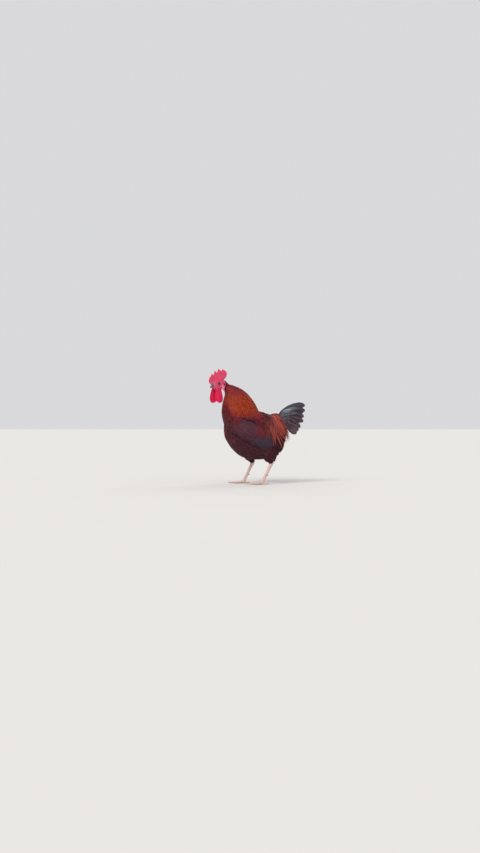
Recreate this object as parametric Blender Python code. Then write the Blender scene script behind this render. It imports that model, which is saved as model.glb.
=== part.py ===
"""A life-size rooster that stands on the floor. Metres, +Z up.

The bird faces -Y and its left side is towards +X. Its feet rest on z = 0, and the origin is
below the middle of the whole bird. Each named part is its own solid, 0.3 mm from its neighbours.
"""

import collections
import math
import random

import bmesh
import bpy
from mathutils import Euler, Matrix, Vector
from mathutils.bvhtree import BVHTree

# Gap that touching parts keep
GAP = 0.0003

# Torso: driving sizes, then rows of shares (along the length, top, bottom, width)
BREAST_Y = -0.137
BELLY_Z = 0.0965
TORSO_LENGTH = 0.252
TORSO_DEPTH = 0.2095
TORSO_WIDTH = 0.128
TORSO_SQUARENESS = 2.25
BACK_FULLNESS = 0.05
TORSO_SHAPE = (
    (0.000, 0.615, 0.590, 0.06),
    (0.020, 0.770, 0.446, 0.36),
    (0.075, 0.890, 0.322, 0.60),
    (0.155, 0.950, 0.198, 0.78),
    (0.274, 0.985, 0.079, 0.92),
    (0.405, 0.985, 0.018, 0.99),
    (0.544, 0.960, 0.000, 1.00),
    (0.683, 0.920, 0.014, 0.94),
    (0.794, 0.895, 0.072, 0.82),
    (0.889, 0.850, 0.174, 0.64),
    (0.964, 0.760, 0.310, 0.40),
    (1.000, 0.560, 0.525, 0.06),
)
TORSO_RINGS = 18
TORSO_SIDES = 16

# Neck: rows of (front y, front z, back y, back z, half width), from the head down into the body
NECK_SHAPE = (
    (-0.1370, 0.3930, -0.1215, 0.4150, 0.0150),
    (-0.1310, 0.3640, -0.0790, 0.4015, 0.0260),
    (-0.1385, 0.3290, -0.0400, 0.3750, 0.0370),
    (-0.1445, 0.2970, -0.0140, 0.3420, 0.0470),
    (-0.1410, 0.2660, 0.0030, 0.3110, 0.0545),
    (-0.1310, 0.2310, 0.0170, 0.2720, 0.0560),
)
NECK_RINGS = 10
NECK_SIDES = 14

# Head: its own frame has +X to its left, -Y forward and +Z up
HEAD_PLACE = Vector((0.004, -0.1375, 0.4085))
HEAD_TURN = math.radians(25)
HEAD_NOD = math.radians(10)
# Rows of (forward, half width, top, bottom)
HEAD_SHAPE = (
    (-0.0140, 0.0015, 0.0030, 0.0000),
    (-0.0120, 0.0085, 0.0100, -0.0080),
    (-0.0050, 0.0135, 0.0150, -0.0140),
    (0.0070, 0.0160, 0.0175, -0.0165),
    (0.0190, 0.0160, 0.0178, -0.0170),
    (0.0290, 0.0145, 0.0165, -0.0160),
    (0.0380, 0.0115, 0.0135, -0.0135),
    (0.0450, 0.0080, 0.0090, -0.0100),
    (0.0480, 0.0020, 0.0020, -0.0040),
)
HEAD_RINGS = 13
HEAD_SIDES = 14
EYE_RADIUS = 0.0056
EYE_FORWARD = 0.0245
EYE_SIDE = 0.0116
EYE_UP = 0.0045
LID_RADIUS = 0.0059
LID_THICKNESS = 0.0013
LID_SIDE = 0.0146
# The corner of the mouth, a groove in the head's side
GAPE_PLACE = (0.0112, -0.0370, -0.0028)
GAPE_HALF_SIZES = (0.0030, 0.0060, 0.0006)

# Beak halves: rows of (forward, half width, top, bottom) in the head's frame
UPPER_BEAK_SHAPE = (
    (0.0360, 0.0080, 0.0080, -0.0022),
    (0.0440, 0.0074, 0.0078, -0.0025),
    (0.0510, 0.0058, 0.0056, -0.0031),
    (0.0570, 0.0038, 0.0018, -0.0044),
    (0.0605, 0.0019, -0.0030, -0.0070),
    (0.0615, 0.0005, -0.0066, -0.0084),
)
LOWER_BEAK_SHAPE = (
    (0.0350, 0.0070, -0.0032, -0.0105),
    (0.0440, 0.0063, -0.0034, -0.0098),
    (0.0510, 0.0048, -0.0040, -0.0086),
    (0.0560, 0.0028, -0.0055, -0.0078),
    (0.0580, 0.0007, -0.0066, -0.0076),
)
UPPER_BEAK_RINGS = 9
LOWER_BEAK_RINGS = 8
BEAK_SIDES = 10
NOSTRIL_PLACE = (0.0075, -0.0460, 0.0022)
NOSTRIL_HALF_SIZES = (0.0022, 0.0030, 0.0011)

# Comb: rows of (forward, top, bottom) of its outline in the head's frame, and its points
COMB_SHAPE = (
    (0.0620, 0.0235, 0.0205),
    (0.0580, 0.0350, 0.0110),
    (0.0520, 0.0430, 0.0040),
    (0.0420, 0.0510, 0.0060),
    (0.0280, 0.0590, 0.0110),
    (0.0150, 0.0635, 0.0130),
    (0.0015, 0.0655, 0.0150),
    (-0.0100, 0.0600, 0.0205),
    (-0.0180, 0.0530, 0.0270),
    (-0.0230, 0.0430, 0.0400),
)
COMB_POINTS = 6
COMB_POINT_DEPTH = 0.0090
COMB_STEPS_A_POINT = 4
COMB_HALF_BASE = 0.0034
COMB_HALF_EDGE = 0.0012

# Wattles: rows of (share of the drop, half length, half thickness), hung from the jaw
WATTLE_SHAPE = (
    (0.00, 0.0100, 0.0016),
    (0.20, 0.0130, 0.0024),
    (0.45, 0.0160, 0.0027),
    (0.70, 0.0170, 0.0030),
    (0.88, 0.0135, 0.0030),
    (0.97, 0.0070, 0.0022),
    (1.00, 0.0015, 0.0008),
)
WATTLE_DROP = 0.062
WATTLE_TOP_Z = 0.3930
WATTLE_RINGS = 10
WATTLE_SIDES = 12
WATTLE_FOLD = 0.0007
# For each side: (sideways, forward) of the root from the head's place, and the swing of the tip
WATTLE_LEFT = (0.0105, 0.0260, -0.0060)
WATTLE_RIGHT = (-0.0105, 0.0360, 0.0060)

# Earlobes, in the head's frame
LOBE_PLACE = (0.0148, -0.0070, -0.0140)
LOBE_HALF_SIZES = (0.0028, 0.0070, 0.0130)

# Thighs: rows of (y, z, half depth, half width) down to the hock, for the left leg
LEG_X = 0.034
RIGHT_LEG_SHIFT = -0.0755
THIGH_SHAPE = (
    (0.0300, 0.1800, 0.0330, 0.0180),
    (0.0400, 0.1450, 0.0330, 0.0210),
    (0.0480, 0.1150, 0.0250, 0.0185),
    (0.0545, 0.0970, 0.0150, 0.0130),
    (0.0585, 0.0840, 0.0092, 0.0085),
)
THIGH_RINGS = 9
THIGH_SIDES = 12

# Shanks: rows of (y, z, half depth, half width) for the left leg, and the raised scutes
SHANK_SHAPE = (
    (0.0610, 0.0960, 0.0060, 0.0055),
    (0.0590, 0.0860, 0.0076, 0.0064),
    (0.0480, 0.0630, 0.0058, 0.0050),
    (0.0340, 0.0340, 0.0060, 0.0052),
    (0.0255, 0.0170, 0.0070, 0.0062),
    (0.0215, 0.0090, 0.0068, 0.0068),
)
SHANK_SIDES = 8
SHANK_SCUTES = 10
SCUTE_HEIGHT = 0.0005
SPUR_SHARE = 0.60
SPUR_LENGTH = 0.0125
SPUR_RADIUS = 0.0034
SPUR_AHEAD = Vector((-0.45, 0.85, 0.18)).normalized()
SPUR_BEND = -0.15

# Toes: (name, turn from straight ahead in degrees for the left foot, length, root radius)
FOOT_Y = 0.0205
TOES = (
    ("inner", 36, 0.0420, 0.0046),
    ("middle", 2, 0.0580, 0.0050),
    ("outer", -34, 0.0450, 0.0045),
    ("hind", 168, 0.0230, 0.0038),
)
TOE_SIDES = 7
TOE_SCUTES = 5
TOE_CENTRE_Z = 0.0036
TOE_ROOT_Z = 0.0085
TOE_TIP_SHARE = 0.72
PALM_PLACE = (LEG_X, FOOT_Y, 0.0065)
PALM_HALF_SIZES = (0.0082, 0.0085, 0.0075)
CLAW_LENGTH = 0.0125
CLAW_RADIUS = 0.0027
CLAW_INSIDE = 0.0040
CLAW_Z = 0.0042
CLAW_BEND = 0.20
CLAW_SIDES = 6
CLAW_RINGS = 4

# Outlines of vanes: rows of (share of the length, share of the greatest half width)
POINTED_OUTLINE = ((0.0, 0.12), (0.20, 0.72), (0.60, 1.0), (1.0, 0.06))
ROUND_OUTLINE = ((0.0, 0.12), (0.22, 0.80), (0.76, 1.0), (1.0, 0.30))
FLIGHT_OUTLINE = ((0.0, 0.15), (0.14, 0.72), (0.50, 0.95), (0.88, 1.0), (1.0, 0.35))
VANE_THICKNESS = 0.0006
VANE_TIP_THICKNESS = 0.0004
NARROW_TIP = 0.0010
CLEARANCE = 0.0012
ROOT_DEPTH = 0.0015
TIER_STEP = 0.0020

# Hackle: per row, (share of the cape where the tips end, vanes in the row)
HACKLE_ROWS = ((0.33, 9), (0.50, 12), (0.67, 14), (0.84, 15), (1.00, 16))
HACKLE_LENGTH = 0.36
HACKLE_SPREAD = math.radians(142)
HACKLE_DEPTH = 0.0080
# On the throat, from this angle from the nape on, the hackle thins out to this share of its depth
THROAT_ANGLE = math.radians(105)
THROAT_FADE = math.radians(45)
THROAT_DEPTH = 0.15
HACKLE_TILT = math.radians(9)
HACKLE_OVERLAP = 0.64
# How far a vane may stray, as a share of its row's pitch and of the neck
HACKLE_STRAY = (0.12, 0.018)
# Past this share of the neck a hackle vane keeps its direction
NECK_END = 0.97
# The cape's lower edge: rows of (share of the spread from the nape, share of the neck)
CAPE_EDGE = ((0.0, 0.90), (0.25, 1.00), (0.50, 1.03), (0.70, 0.93), (1.0, 0.62))

# Wings: the shoulder and tip of the folded wing on the flank in (y, z), and its tiers of (name,
# root share, tip share, lowest and highest place across, vanes, half width, height, outline)
WING_SHOULDER = Vector((-0.0880, 0.2420))
WING_TIP = Vector((0.0920, 0.1420))
WING_TIERS = (
    ("primaries", 0.36, 0.99, -0.0230, -0.0020, 4, 0.0058, 0.0012, FLIGHT_OUTLINE),
    ("secondaries", 0.28, 0.88, -0.0300, 0.0380, 7, 0.0080, 0.0032, FLIGHT_OUTLINE),
    ("greater coverts", 0.20, 0.60, -0.0310, 0.0370, 8, 0.0069, 0.0052, ROUND_OUTLINE),
    ("median coverts", 0.11, 0.41, -0.0290, 0.0340, 7, 0.0073, 0.0072, ROUND_OUTLINE),
    ("lesser coverts", 0.01, 0.24, -0.0230, 0.0280, 6, 0.0072, 0.0092, ROUND_OUTLINE),
)
WING_FAN = 0.25
WING_ROUNDING = 0.10
WING_TILT = math.radians(7)
WING_BASE_ROWS = 7
WING_BASE_COLUMNS = 4
WING_BASE_START = -0.02
WING_BASE_LENGTH = 0.43
WING_BASE_HALF = 0.0290
WING_BASE_HEIGHT = 0.0092
WING_BASE_THINNING = 0.82
WING_BASE_CROWN = 0.40
WING_BASE_RISE = 0.0020

# Tail: its root in the body, then its fan of main feathers on each side
TAIL_ROOT = Vector((0.0, 0.0760, 0.2620))
TAIL_ROOT_HALF = (0.0190, 0.0310, 0.0260)
TAIL_FEATHERS = 7
TAIL_TOP_ANGLE = math.radians(32)
TAIL_FAN = math.radians(63)
TAIL_TOP_LENGTH = 0.128
TAIL_LOW_LENGTH = 0.097
TAIL_BOW = 0.10
TAIL_HALF_WIDTH = 0.0125
TAIL_LAYER = 0.0014
TAIL_TENT = math.radians(1.3)
TAIL_APART = 0.0020
TAIL_LEAN = 0.12
TAIL_START = 0.0080
TAIL_COVERT_START = 0.0100
TAIL_COVERT_TILT = math.radians(4)
# Lesser sickles and coverts: (feathers, length, half width, first and last angle, first layer)
TAIL_COVERTS = (
    (5, 0.084, 0.0090, 34, -26, 7.2),
    (4, 0.060, 0.0085, 28, -18, 9.0),
)

# Saddle: per row and side, (root's angle from the ridge, share of the full drop, vanes)
SADDLE_ROWS = ((50, 1.00, 8), (34, 0.72, 6), (18, 0.46, 5), (5, 0.27, 4))
SADDLE_FRONT_SHARE = 0.59
SADDLE_REAR_SHARE = 0.79
SADDLE_HALF_WIDTH = 0.0056
SADDLE_TILT = math.radians(9)
SADDLE_LIFT = 0.0040
SADDLE_BASE_ROWS = 6
SADDLE_BASE_COLUMNS = 8
SADDLE_BASE_SPREAD = math.radians(54)
SADDLE_BASE_MARGIN = 0.01
SADDLE_BASE_HEIGHT = 0.0006
SADDLE_BASE_DEPTH = 0.0040
# Tips of the lowest row in (y, z): the first, then how far the last lies behind and above it
SADDLE_FIRST_TIP = (0.0560, 0.1620)
SADDLE_TIP_REACH = (0.0660, 0.0420)
SADDLE_LAST_Y = 0.1040

MATERIALS = {
    "breast_feather": ((0.045, 0.022, 0.028), 0.55),
    "hackle_feather": ((0.330, 0.085, 0.025), 0.45),
    "wing_feather": ((0.080, 0.018, 0.028), 0.45),
    "saddle_feather": ((0.260, 0.045, 0.030), 0.45),
    "tail_feather": ((0.020, 0.035, 0.045), 0.35),
    "red_skin": ((0.640, 0.020, 0.075), 0.50),
    "earlobe_skin": ((0.720, 0.110, 0.200), 0.55),
    "horn": ((0.230, 0.200, 0.170), 0.40),
    "leg_scale": ((0.620, 0.460, 0.420), 0.50),
    "eye": ((0.350, 0.090, 0.020), 0.10),
}

LEFT, RIGHT = 1, -1
SIDES = {"left": LEFT, "right": RIGHT}
AXIS_X = Vector((1, 0, 0))
AXIS_Z = Vector((0, 0, 1))


def clear_scene():
    for old in list(bpy.data.objects):
        bpy.data.objects.remove(old, do_unlink=True)


def new_collection(name):
    made = bpy.data.collections.new(name)
    bpy.context.scene.collection.children.link(made)
    return made


def material_of(slot):
    found = bpy.data.materials.get(slot)
    if found:
        return found
    colour, roughness = MATERIALS[slot]
    made = bpy.data.materials.new(slot)
    made.use_nodes = True
    shader = made.node_tree.nodes["Principled BSDF"]
    shader.inputs["Base Color"].default_value = (*colour, 1.0)
    shader.inputs["Roughness"].default_value = roughness
    shader.inputs["Metallic"].default_value = 0.0
    made.diffuse_color = (*colour, 1.0)
    return made


def object_of(name, mesh, collection, matrix=None):
    made = bpy.data.objects.new(name, mesh)
    collection.objects.link(made)
    if matrix is not None:
        made.matrix_world = matrix
    return made


def finish_part(part, slot):
    """Gives a part its material and smooth faces."""
    part.data.materials.clear()
    part.data.materials.append(material_of(slot))
    part.data.shade_smooth()
    part.data.set_sharp_from_angle(angle=math.radians(40))
    return part


# Curves and surfaces that the forms share
def row_at(rows, share):
    """The row at this share of the way along rows, on a smooth curve through all of them."""
    last = len(rows) - 1
    place = min(max(share, 0.0), 1.0) * last
    first = min(int(place), last - 1)
    t = place - first
    before = rows[max(first - 1, 0)]
    here = rows[first]
    there = rows[first + 1]
    after = rows[min(first + 2, last)]
    return [
        0.5 * (2 * b + (c - a) * t + (2 * a - 5 * b + 4 * c - d) * t * t + (3 * b - a - 3 * c + d) * t**3)
        for a, b, c, d in zip(before, here, there, after)
    ]


def rounded(angle, power=2.0):
    """(across, up) of a ring's point: angle 0 is its top and a quarter turn is its left side."""
    across, up = math.sin(angle), math.cos(angle)
    return (
        math.copysign(abs(across) ** (2 / power), across),
        math.copysign(abs(up) ** (2 / power), up),
    )


def torso_point(share, angle, grow=0.0):
    along, top, bottom, width = row_at(TORSO_SHAPE, share)
    across, up = rounded(angle, TORSO_SQUARENESS)
    half_width = TORSO_WIDTH * width / 2 + grow
    half_depth = TORSO_DEPTH * (top - bottom) / 2 + grow
    return Vector((
        half_width * across * (1 + BACK_FULLNESS * up),
        BREAST_Y + TORSO_LENGTH * along + grow * (2 * share - 1),
        BELLY_Z + TORSO_DEPTH * (top + bottom) / 2 + half_depth * up,
    ))


def surface_of(point_at, share, angle, rise):
    """A point raised off a form, and which way the form faces there."""
    step = 0.01
    along = point_at(min(share + step, 1.0), angle) - point_at(max(share - step, 0.0), angle)
    around = point_at(share, angle + step) - point_at(share, angle - step)
    out = around.cross(along).normalized()
    return point_at(share, angle) + out * rise, out


def torso_share(y):
    """The share along the torso at which its ring stands at this y."""
    low, high = 0.0, 1.0
    for _ in range(24):
        middle = (low + high) / 2
        if BREAST_Y + TORSO_LENGTH * row_at(TORSO_SHAPE, middle)[0] < y:
            low = middle
        else:
            high = middle
    return (low + high) / 2


def on_flank(side, y, z, rise):
    """The torso's side at this y and z, raised, and which way it faces."""
    share = torso_share(y)
    _, top, bottom, _ = row_at(TORSO_SHAPE, share)
    centre = BELLY_Z + TORSO_DEPTH * (top + bottom) / 2
    up = (z - centre) / (TORSO_DEPTH * (top - bottom) / 2)
    up = min(max(up, -0.97), 0.97)
    angle = math.acos(math.copysign(abs(up) ** (TORSO_SQUARENESS / 2), up))
    return surface_of(torso_point, share, side * angle, rise)


def neck_point(share, angle, grow=0.0):
    front_y, front_z, back_y, back_z, half_width = row_at(NECK_SHAPE, share)
    front, back = Vector((0, front_y, front_z)), Vector((0, back_y, back_z))
    reach = (back - front) / 2
    across, up = rounded(angle)
    return (
        (front + back) / 2
        + reach * up * (1 + grow / reach.length)
        + AXIS_X * (half_width + grow) * across
    )


def slab_point(rows, share, angle, grow=0.0):
    """A point on a form in the head's frame, from rows of (forward, half width, top, bottom)."""
    forward, half_width, top, bottom = row_at(rows, share)
    across, up = rounded(angle)
    return Vector((
        (half_width + grow) * across,
        -forward + grow * (1 - 2 * share),
        (top + bottom) / 2 + ((top - bottom) / 2 + grow) * up,
    ))


def limb_point(rows, share, angle, grow=0.0, ridge=0.0):
    """A point on the left leg, from rows of (y, z, half depth, half width)."""
    y, z, half_depth, half_width = row_at(rows, share)
    step = 0.02
    after, before = row_at(rows, share + step), row_at(rows, share - step)
    run = Vector((0, after[0] - before[0], after[1] - before[1])).normalized()
    ahead = run.cross(AXIS_X)
    across, up = math.sin(angle), math.cos(angle)
    out = grow + ridge * max(0.0, up)
    centre = Vector((LEG_X, y, z)) + run * grow * (2 * share - 1)
    return centre + ahead * (half_depth + out) * up + AXIS_X * (half_width + out) * across


# Meshes
def mesh_of_rings(name, rings):
    """A closed mesh through rings of as many points each, with a fan over each end."""
    work = bmesh.new()
    rows = [[work.verts.new(point) for point in ring] for ring in rings]
    sides = len(rows[0])
    for near, far in zip(rows, rows[1:]):
        for i in range(sides):
            j = (i + 1) % sides
            work.faces.new((near[i], near[j], far[j], far[i]))
    for ring in (rows[0], rows[-1]):
        hub = work.verts.new(sum((v.co for v in ring), Vector()) / sides)
        for i in range(sides):
            work.faces.new((ring[i], ring[(i + 1) % sides], hub))
    bmesh.ops.recalc_face_normals(work, faces=work.faces)
    mesh = bpy.data.meshes.new(name)
    work.to_mesh(mesh)
    work.free()
    return mesh


def angles(sides):
    return [math.tau * i / sides for i in range(sides)]


def form_mesh(name, point_at, ring_count, sides):
    """The mesh of a form whose point_at(share, angle) gives its surface."""
    shares = [i / (ring_count - 1) for i in range(ring_count)]
    return mesh_of_rings(name, [[point_at(s, a) for a in angles(sides)] for s in shares])


def boolean(target, others, operation):
    """Joins or cuts the target with the other meshes at once, and removes them.

    The Manifold solver is used because the Exact one takes many times as long for so many vanes.
    """
    tools = new_collection("tools")
    for other in others:
        for home in list(other.users_collection):
            home.objects.unlink(other)
        tools.objects.link(other)
    modifier = target.modifiers.new(operation.lower(), "BOOLEAN")
    modifier.operation = operation
    modifier.operand_type = "COLLECTION"
    modifier.collection = tools
    modifier.solver = "MANIFOLD"
    bpy.context.view_layer.update()
    graph = bpy.context.evaluated_depsgraph_get()
    mesh = bpy.data.meshes.new_from_object(target.evaluated_get(graph))
    target.modifiers.remove(modifier)
    target.data = mesh
    for other in others:
        bpy.data.objects.remove(other, do_unlink=True)
    bpy.data.collections.remove(tools)
    keep_largest(target)
    return target


def hold(name, matrix, pieces, collection):
    """An empty that these pieces hang on, where they stand."""
    holder = object_of(name, None, collection, matrix)
    for piece in pieces:
        piece.parent = holder
        piece.matrix_parent_inverse = matrix.inverted()


def keep_largest(part):
    """Keeps only the closed surface with the largest box."""
    work = bmesh.new()
    work.from_mesh(part.data)
    unseen = set(work.verts)
    shells = []
    while unseen:
        shell, edge = set(), [unseen.pop()]
        while edge:
            vert = edge.pop()
            shell.add(vert)
            near = {e.other_vert(vert) for e in vert.link_edges} & unseen
            unseen -= near
            edge.extend(near)
        shells.append(shell)
    if len(shells) > 1:
        shells.sort(key=box_size)
        loose = [vert for shell in shells[:-1] for vert in shell]
        bmesh.ops.delete(work, geom=loose, context="VERTS")
        work.to_mesh(part.data)
    work.free()


def box_size(verts):
    sides = [[v.co[axis] for v in verts] for axis in range(3)]
    return math.prod(max(side) - min(side) for side in sides)


def sheet_mesh(name, lower, upper, root=None, tip=None):
    """A closed thin sheet between two grids of points, with both faces split alike.

    Where a root or a tip is given, that end runs to this point.
    """
    work = bmesh.new()
    low = [[work.verts.new(point) for point in row] for row in lower]
    high = [[work.verts.new(point) for point in row] for row in upper]
    rows, columns = len(low), len(low[0])
    for i in range(rows - 1):
        for j in range(columns - 1):
            for grid in (low, high):
                work.faces.new((grid[i][j], grid[i + 1][j], grid[i + 1][j + 1]))
                work.faces.new((grid[i][j], grid[i + 1][j + 1], grid[i][j + 1]))
        for j in (0, columns - 1):
            work.faces.new((low[i][j], low[i + 1][j], high[i + 1][j], high[i][j]))
    for i, end in ((0, root), (rows - 1, tip)):
        if end is None:
            for j in range(columns - 1):
                work.faces.new((low[i][j], low[i][j + 1], high[i][j + 1], high[i][j]))
            continue
        point = work.verts.new(end)
        around = low[i] + high[i][::-1]
        for near, far in zip(around, around[1:] + around[:1]):
            work.faces.new((near, far, point))
    bmesh.ops.recalc_face_normals(work, faces=work.faces)
    mesh = bpy.data.meshes.new(name)
    work.to_mesh(mesh)
    work.free()
    return mesh


Vane = collections.namedtuple("Vane", "points outs half_widths thickness columns tilt")


def vane_of(route, outline, half_width, tilt=0.0, columns=1):
    """A vane along route(share), which gives its points and which way its face looks there."""
    places = [route(share) for share, _ in outline]
    thins = [VANE_THICKNESS + (VANE_TIP_THICKNESS - VANE_THICKNESS) * share for share, _ in outline]
    widths = [half_width * width for _, width in outline]
    return Vane([p for p, _ in places], [o for _, o in places], widths, thins, columns, tilt)


def rising(root, height, share, outline):
    """A vane's height here: it leaves its root steeply and has its full height at its second row."""
    return root + (height - root) * min(1.0, share / outline[1][0])


def vane_axes(vane, i):
    """The directions along, across and out of a vane at its point i."""
    last = len(vane.points) - 1
    run = (vane.points[min(i + 1, last)] - vane.points[max(i - 1, 0)]).normalized()
    side = run.cross(vane.outs[i]).normalized()
    out = side.cross(run).normalized()
    tilted = side * math.cos(vane.tilt) + out * math.sin(vane.tilt)
    return run, tilted, tilted.cross(run).normalized()


def vane_solid(vane, collection, grow=0.0):
    """A thin closed sheet whose lower face lies on the vane's points, with its quill as its root.

    A narrow tip runs to a point too. A cutter keeps its full width and thickness at both ends.
    """
    lower, upper = [], []
    last = len(vane.points) - 1
    for i, point in enumerate(vane.points):
        run, side, out = vane_axes(vane, i)
        base = point + run * grow * (2 * i / last - 1) - out * grow
        half = vane.half_widths[i] + grow
        row = [base + side * half * (2 * j / vane.columns - 1) for j in range(vane.columns + 1)]
        lower.append(row)
        upper.append([corner + out * (vane.thickness[i] + 2 * grow) for corner in row])
    if grow:
        return object_of("vane", sheet_mesh("vane", lower, upper), collection)
    root = vane.points[0]
    tip = None
    if vane.half_widths[-1] < NARROW_TIP:
        tip = vane.points[-1]
        lower, upper = lower[:-1], upper[:-1]
    mesh = sheet_mesh("vane", lower[1:], upper[1:], root, tip)
    return object_of("vane", mesh, collection)


def vane_solids(vanes, collection, grow=0.0):
    return [vane_solid(vane, collection, grow) for vane in vanes]


class Ground:
    """The outermost surface of some parts, which vanes are laid on."""

    REACH = 0.030

    def __init__(self, parts):
        points, faces = [], []
        for part in parts:
            start = len(points)
            points += [part.matrix_world @ vert.co for vert in part.data.vertices]
            faces += [[start + i for i in face.vertices] for face in part.data.polygons]
        self.tree = BVHTree.FromPolygons(points, faces)

    def height_under(self, point, out):
        """How far the surface stands out past the point, or None where none is near."""
        hit, _, _, _ = self.tree.ray_cast(point + out * self.REACH, -out, 2 * self.REACH)
        return None if hit is None else (hit - point).dot(out)

    def laid(self, vane, clearance, first=0):
        """The vane, raised where it would come closer than this, from its point first on."""
        moved = list(vane.points)
        for i in range(first, len(moved)):
            _, side, out = vane_axes(vane, i)
            edge = side * vane.half_widths[i]
            needs = []
            for corner in (-edge, Vector(), edge):
                height = self.height_under(vane.points[i] + corner, out)
                if height is not None:
                    needs.append(height + clearance)
            moved[i] = vane.points[i] + out * max([0.0, *needs])
        return vane._replace(points=moved)


# Solids that parts are made from, and the same ones grown by the gap as cutters
def torso_solid(collection, grow=0.0):
    mesh = form_mesh("torso", lambda s, a: torso_point(s, a, grow), TORSO_RINGS, TORSO_SIDES)
    return object_of("torso", mesh, collection)


def head_matrix():
    return Matrix.LocRotScale(HEAD_PLACE, Euler((HEAD_NOD, 0, HEAD_TURN)), None)


def slab_solid(name, rows, rings, sides, collection, grow=0.0):
    mesh = form_mesh(name, lambda s, a: slab_point(rows, s, a, grow), rings, sides)
    return object_of(name, mesh, collection, head_matrix())


def upper_beak_solid(collection, grow=0.0):
    return slab_solid("beak_upper", UPPER_BEAK_SHAPE, UPPER_BEAK_RINGS, BEAK_SIDES, collection, grow)


def lower_beak_solid(collection, grow=0.0):
    return slab_solid("beak_lower", LOWER_BEAK_SHAPE, LOWER_BEAK_RINGS, BEAK_SIDES, collection, grow)


def head_solid(collection, grow=0.0):
    return slab_solid("head", HEAD_SHAPE, HEAD_RINGS, HEAD_SIDES, collection, grow)


def ball(name, place, half_sizes, collection, matrix, segments=14, rings=8, grow=0.0):
    mesh = bpy.data.meshes.new(name)
    work = bmesh.new()
    bmesh.ops.create_uvsphere(work, u_segments=segments, v_segments=rings, radius=1.0)
    sizes = [half + grow for half in half_sizes]
    bmesh.ops.scale(work, verts=work.verts, vec=sizes)
    bmesh.ops.translate(work, verts=work.verts, vec=place)
    work.to_mesh(mesh)
    work.free()
    return object_of(name, mesh, collection, matrix)


def eye_ball(side, collection, grow=0.0):
    place = (side * EYE_SIDE, -EYE_FORWARD, EYE_UP)
    radius = EYE_RADIUS + grow
    return ball("eye", place, (radius,) * 3, collection, head_matrix(), 12, 7)


def lid_ring(side, collection):
    bpy.ops.mesh.primitive_torus_add(
        major_radius=LID_RADIUS,
        minor_radius=LID_THICKNESS,
        major_segments=14,
        minor_segments=5,
    )
    ring = bpy.context.object
    for home in list(ring.users_collection):
        home.objects.unlink(ring)
    collection.objects.link(ring)
    turn = Matrix.Rotation(math.radians(90), 4, "Y")
    place = Matrix.Translation((side * LID_SIDE, -EYE_FORWARD, EYE_UP))
    ring.matrix_world = head_matrix() @ place @ turn
    return ring


def comb_outline(share):
    """(forward, top, bottom) of the comb at this share from its front, with its points cut in."""
    forward, top, bottom = row_at(COMB_SHAPE, share)
    notch = abs(math.sin(math.pi * COMB_POINTS * share))
    height = max(0.0, math.sin(math.pi * share)) ** 0.5
    return forward, top - COMB_POINT_DEPTH * notch * height, bottom


def comb_solid(collection, grow=0.0):
    rings = []
    count = COMB_POINTS * COMB_STEPS_A_POINT + 1
    for i in range(count):
        forward, top, bottom = comb_outline(i / (count - 1))
        height = top - bottom
        ring = []
        for up, thick in ((0.0, 0.0), (0.12, 1.0), (0.45, 0.8), (0.85, 0.25)):
            half = COMB_HALF_EDGE + (COMB_HALF_BASE - COMB_HALF_EDGE) * thick
            ring.append((half * min(1.0, height / 0.010) + grow, bottom + height * up))
        left = [(0.0, bottom - grow)] + ring[1:] + [(0.0, top + grow)]
        right = [(-x, z) for x, z in reversed(ring[1:])]
        rings.append([Vector((x, -forward, z)) for x, z in left + right])
    return object_of("comb", mesh_of_rings("comb", rings), collection, head_matrix())


def wattle_solid(name, side, collection, grow=0.0):
    sideways, forward, swing = WATTLE_LEFT if side == LEFT else WATTLE_RIGHT
    turn = Matrix.Rotation(HEAD_TURN, 4, "Z")
    place = Matrix.Translation((HEAD_PLACE.x, HEAD_PLACE.y, WATTLE_TOP_Z)) @ turn

    def point_at(share, angle):
        drop, half_length, half_thick = row_at(WATTLE_SHAPE, share)
        across, along = math.sin(angle), math.cos(angle)
        fold = WATTLE_FOLD * math.cos(3 * math.pi * along) * math.sin(math.pi * share)
        return Vector((
            sideways + across * (half_thick + fold + grow),
            -(forward + swing * drop + along * (half_length + grow)),
            -WATTLE_DROP * drop + grow * (1 - 2 * share),
        ))

    mesh = form_mesh(name, point_at, WATTLE_RINGS, WATTLE_SIDES)
    return object_of(name, mesh, collection, place)


def lobe_solid(name, side, collection, grow=0.0):
    x, y, z = LOBE_PLACE
    return ball(name, (side * x, y, z), LOBE_HALF_SIZES, collection, head_matrix(), 10, 6, grow)


def leg_matrix(side):
    """The right leg is the left one mirrored, and stands further forward."""
    if side == LEFT:
        return Matrix.Identity(4)
    return Matrix.Translation((0, RIGHT_LEG_SHIFT, 0)) @ Matrix.Scale(-1, 4, AXIS_X)


def leg_place(side):
    """Where the leg stands on the floor."""
    return Matrix.Translation(leg_matrix(side) @ Vector((LEG_X, FOOT_Y, 0)))


def placed(mesh, matrix):
    """The mesh moved by a matrix, with its faces still pointing out."""
    mesh.transform(matrix)
    if matrix.determinant() < 0:
        mesh.flip_normals()
    return mesh


def thigh_solid(name, side, collection, grow=0.0):
    mesh = form_mesh(name, lambda s, a: limb_point(THIGH_SHAPE, s, a, grow), THIGH_RINGS, THIGH_SIDES)
    return object_of(name, placed(mesh, leg_matrix(side)), collection)


def shank_solid(name, side, collection, grow=0.0):
    """The scaly leg, with a raised front plate at every second ring."""
    rings = []
    for i in range(SHANK_SCUTES):
        for share, ridge in ((i + 0.08, SCUTE_HEIGHT), (i + 0.92, 0.0)):
            place = share / SHANK_SCUTES
            rings.append([
                limb_point(SHANK_SHAPE, place, a, grow, ridge) for a in angles(SHANK_SIDES)
            ])
    return object_of(name, placed(mesh_of_rings(name, rings), leg_matrix(side)), collection)


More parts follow.
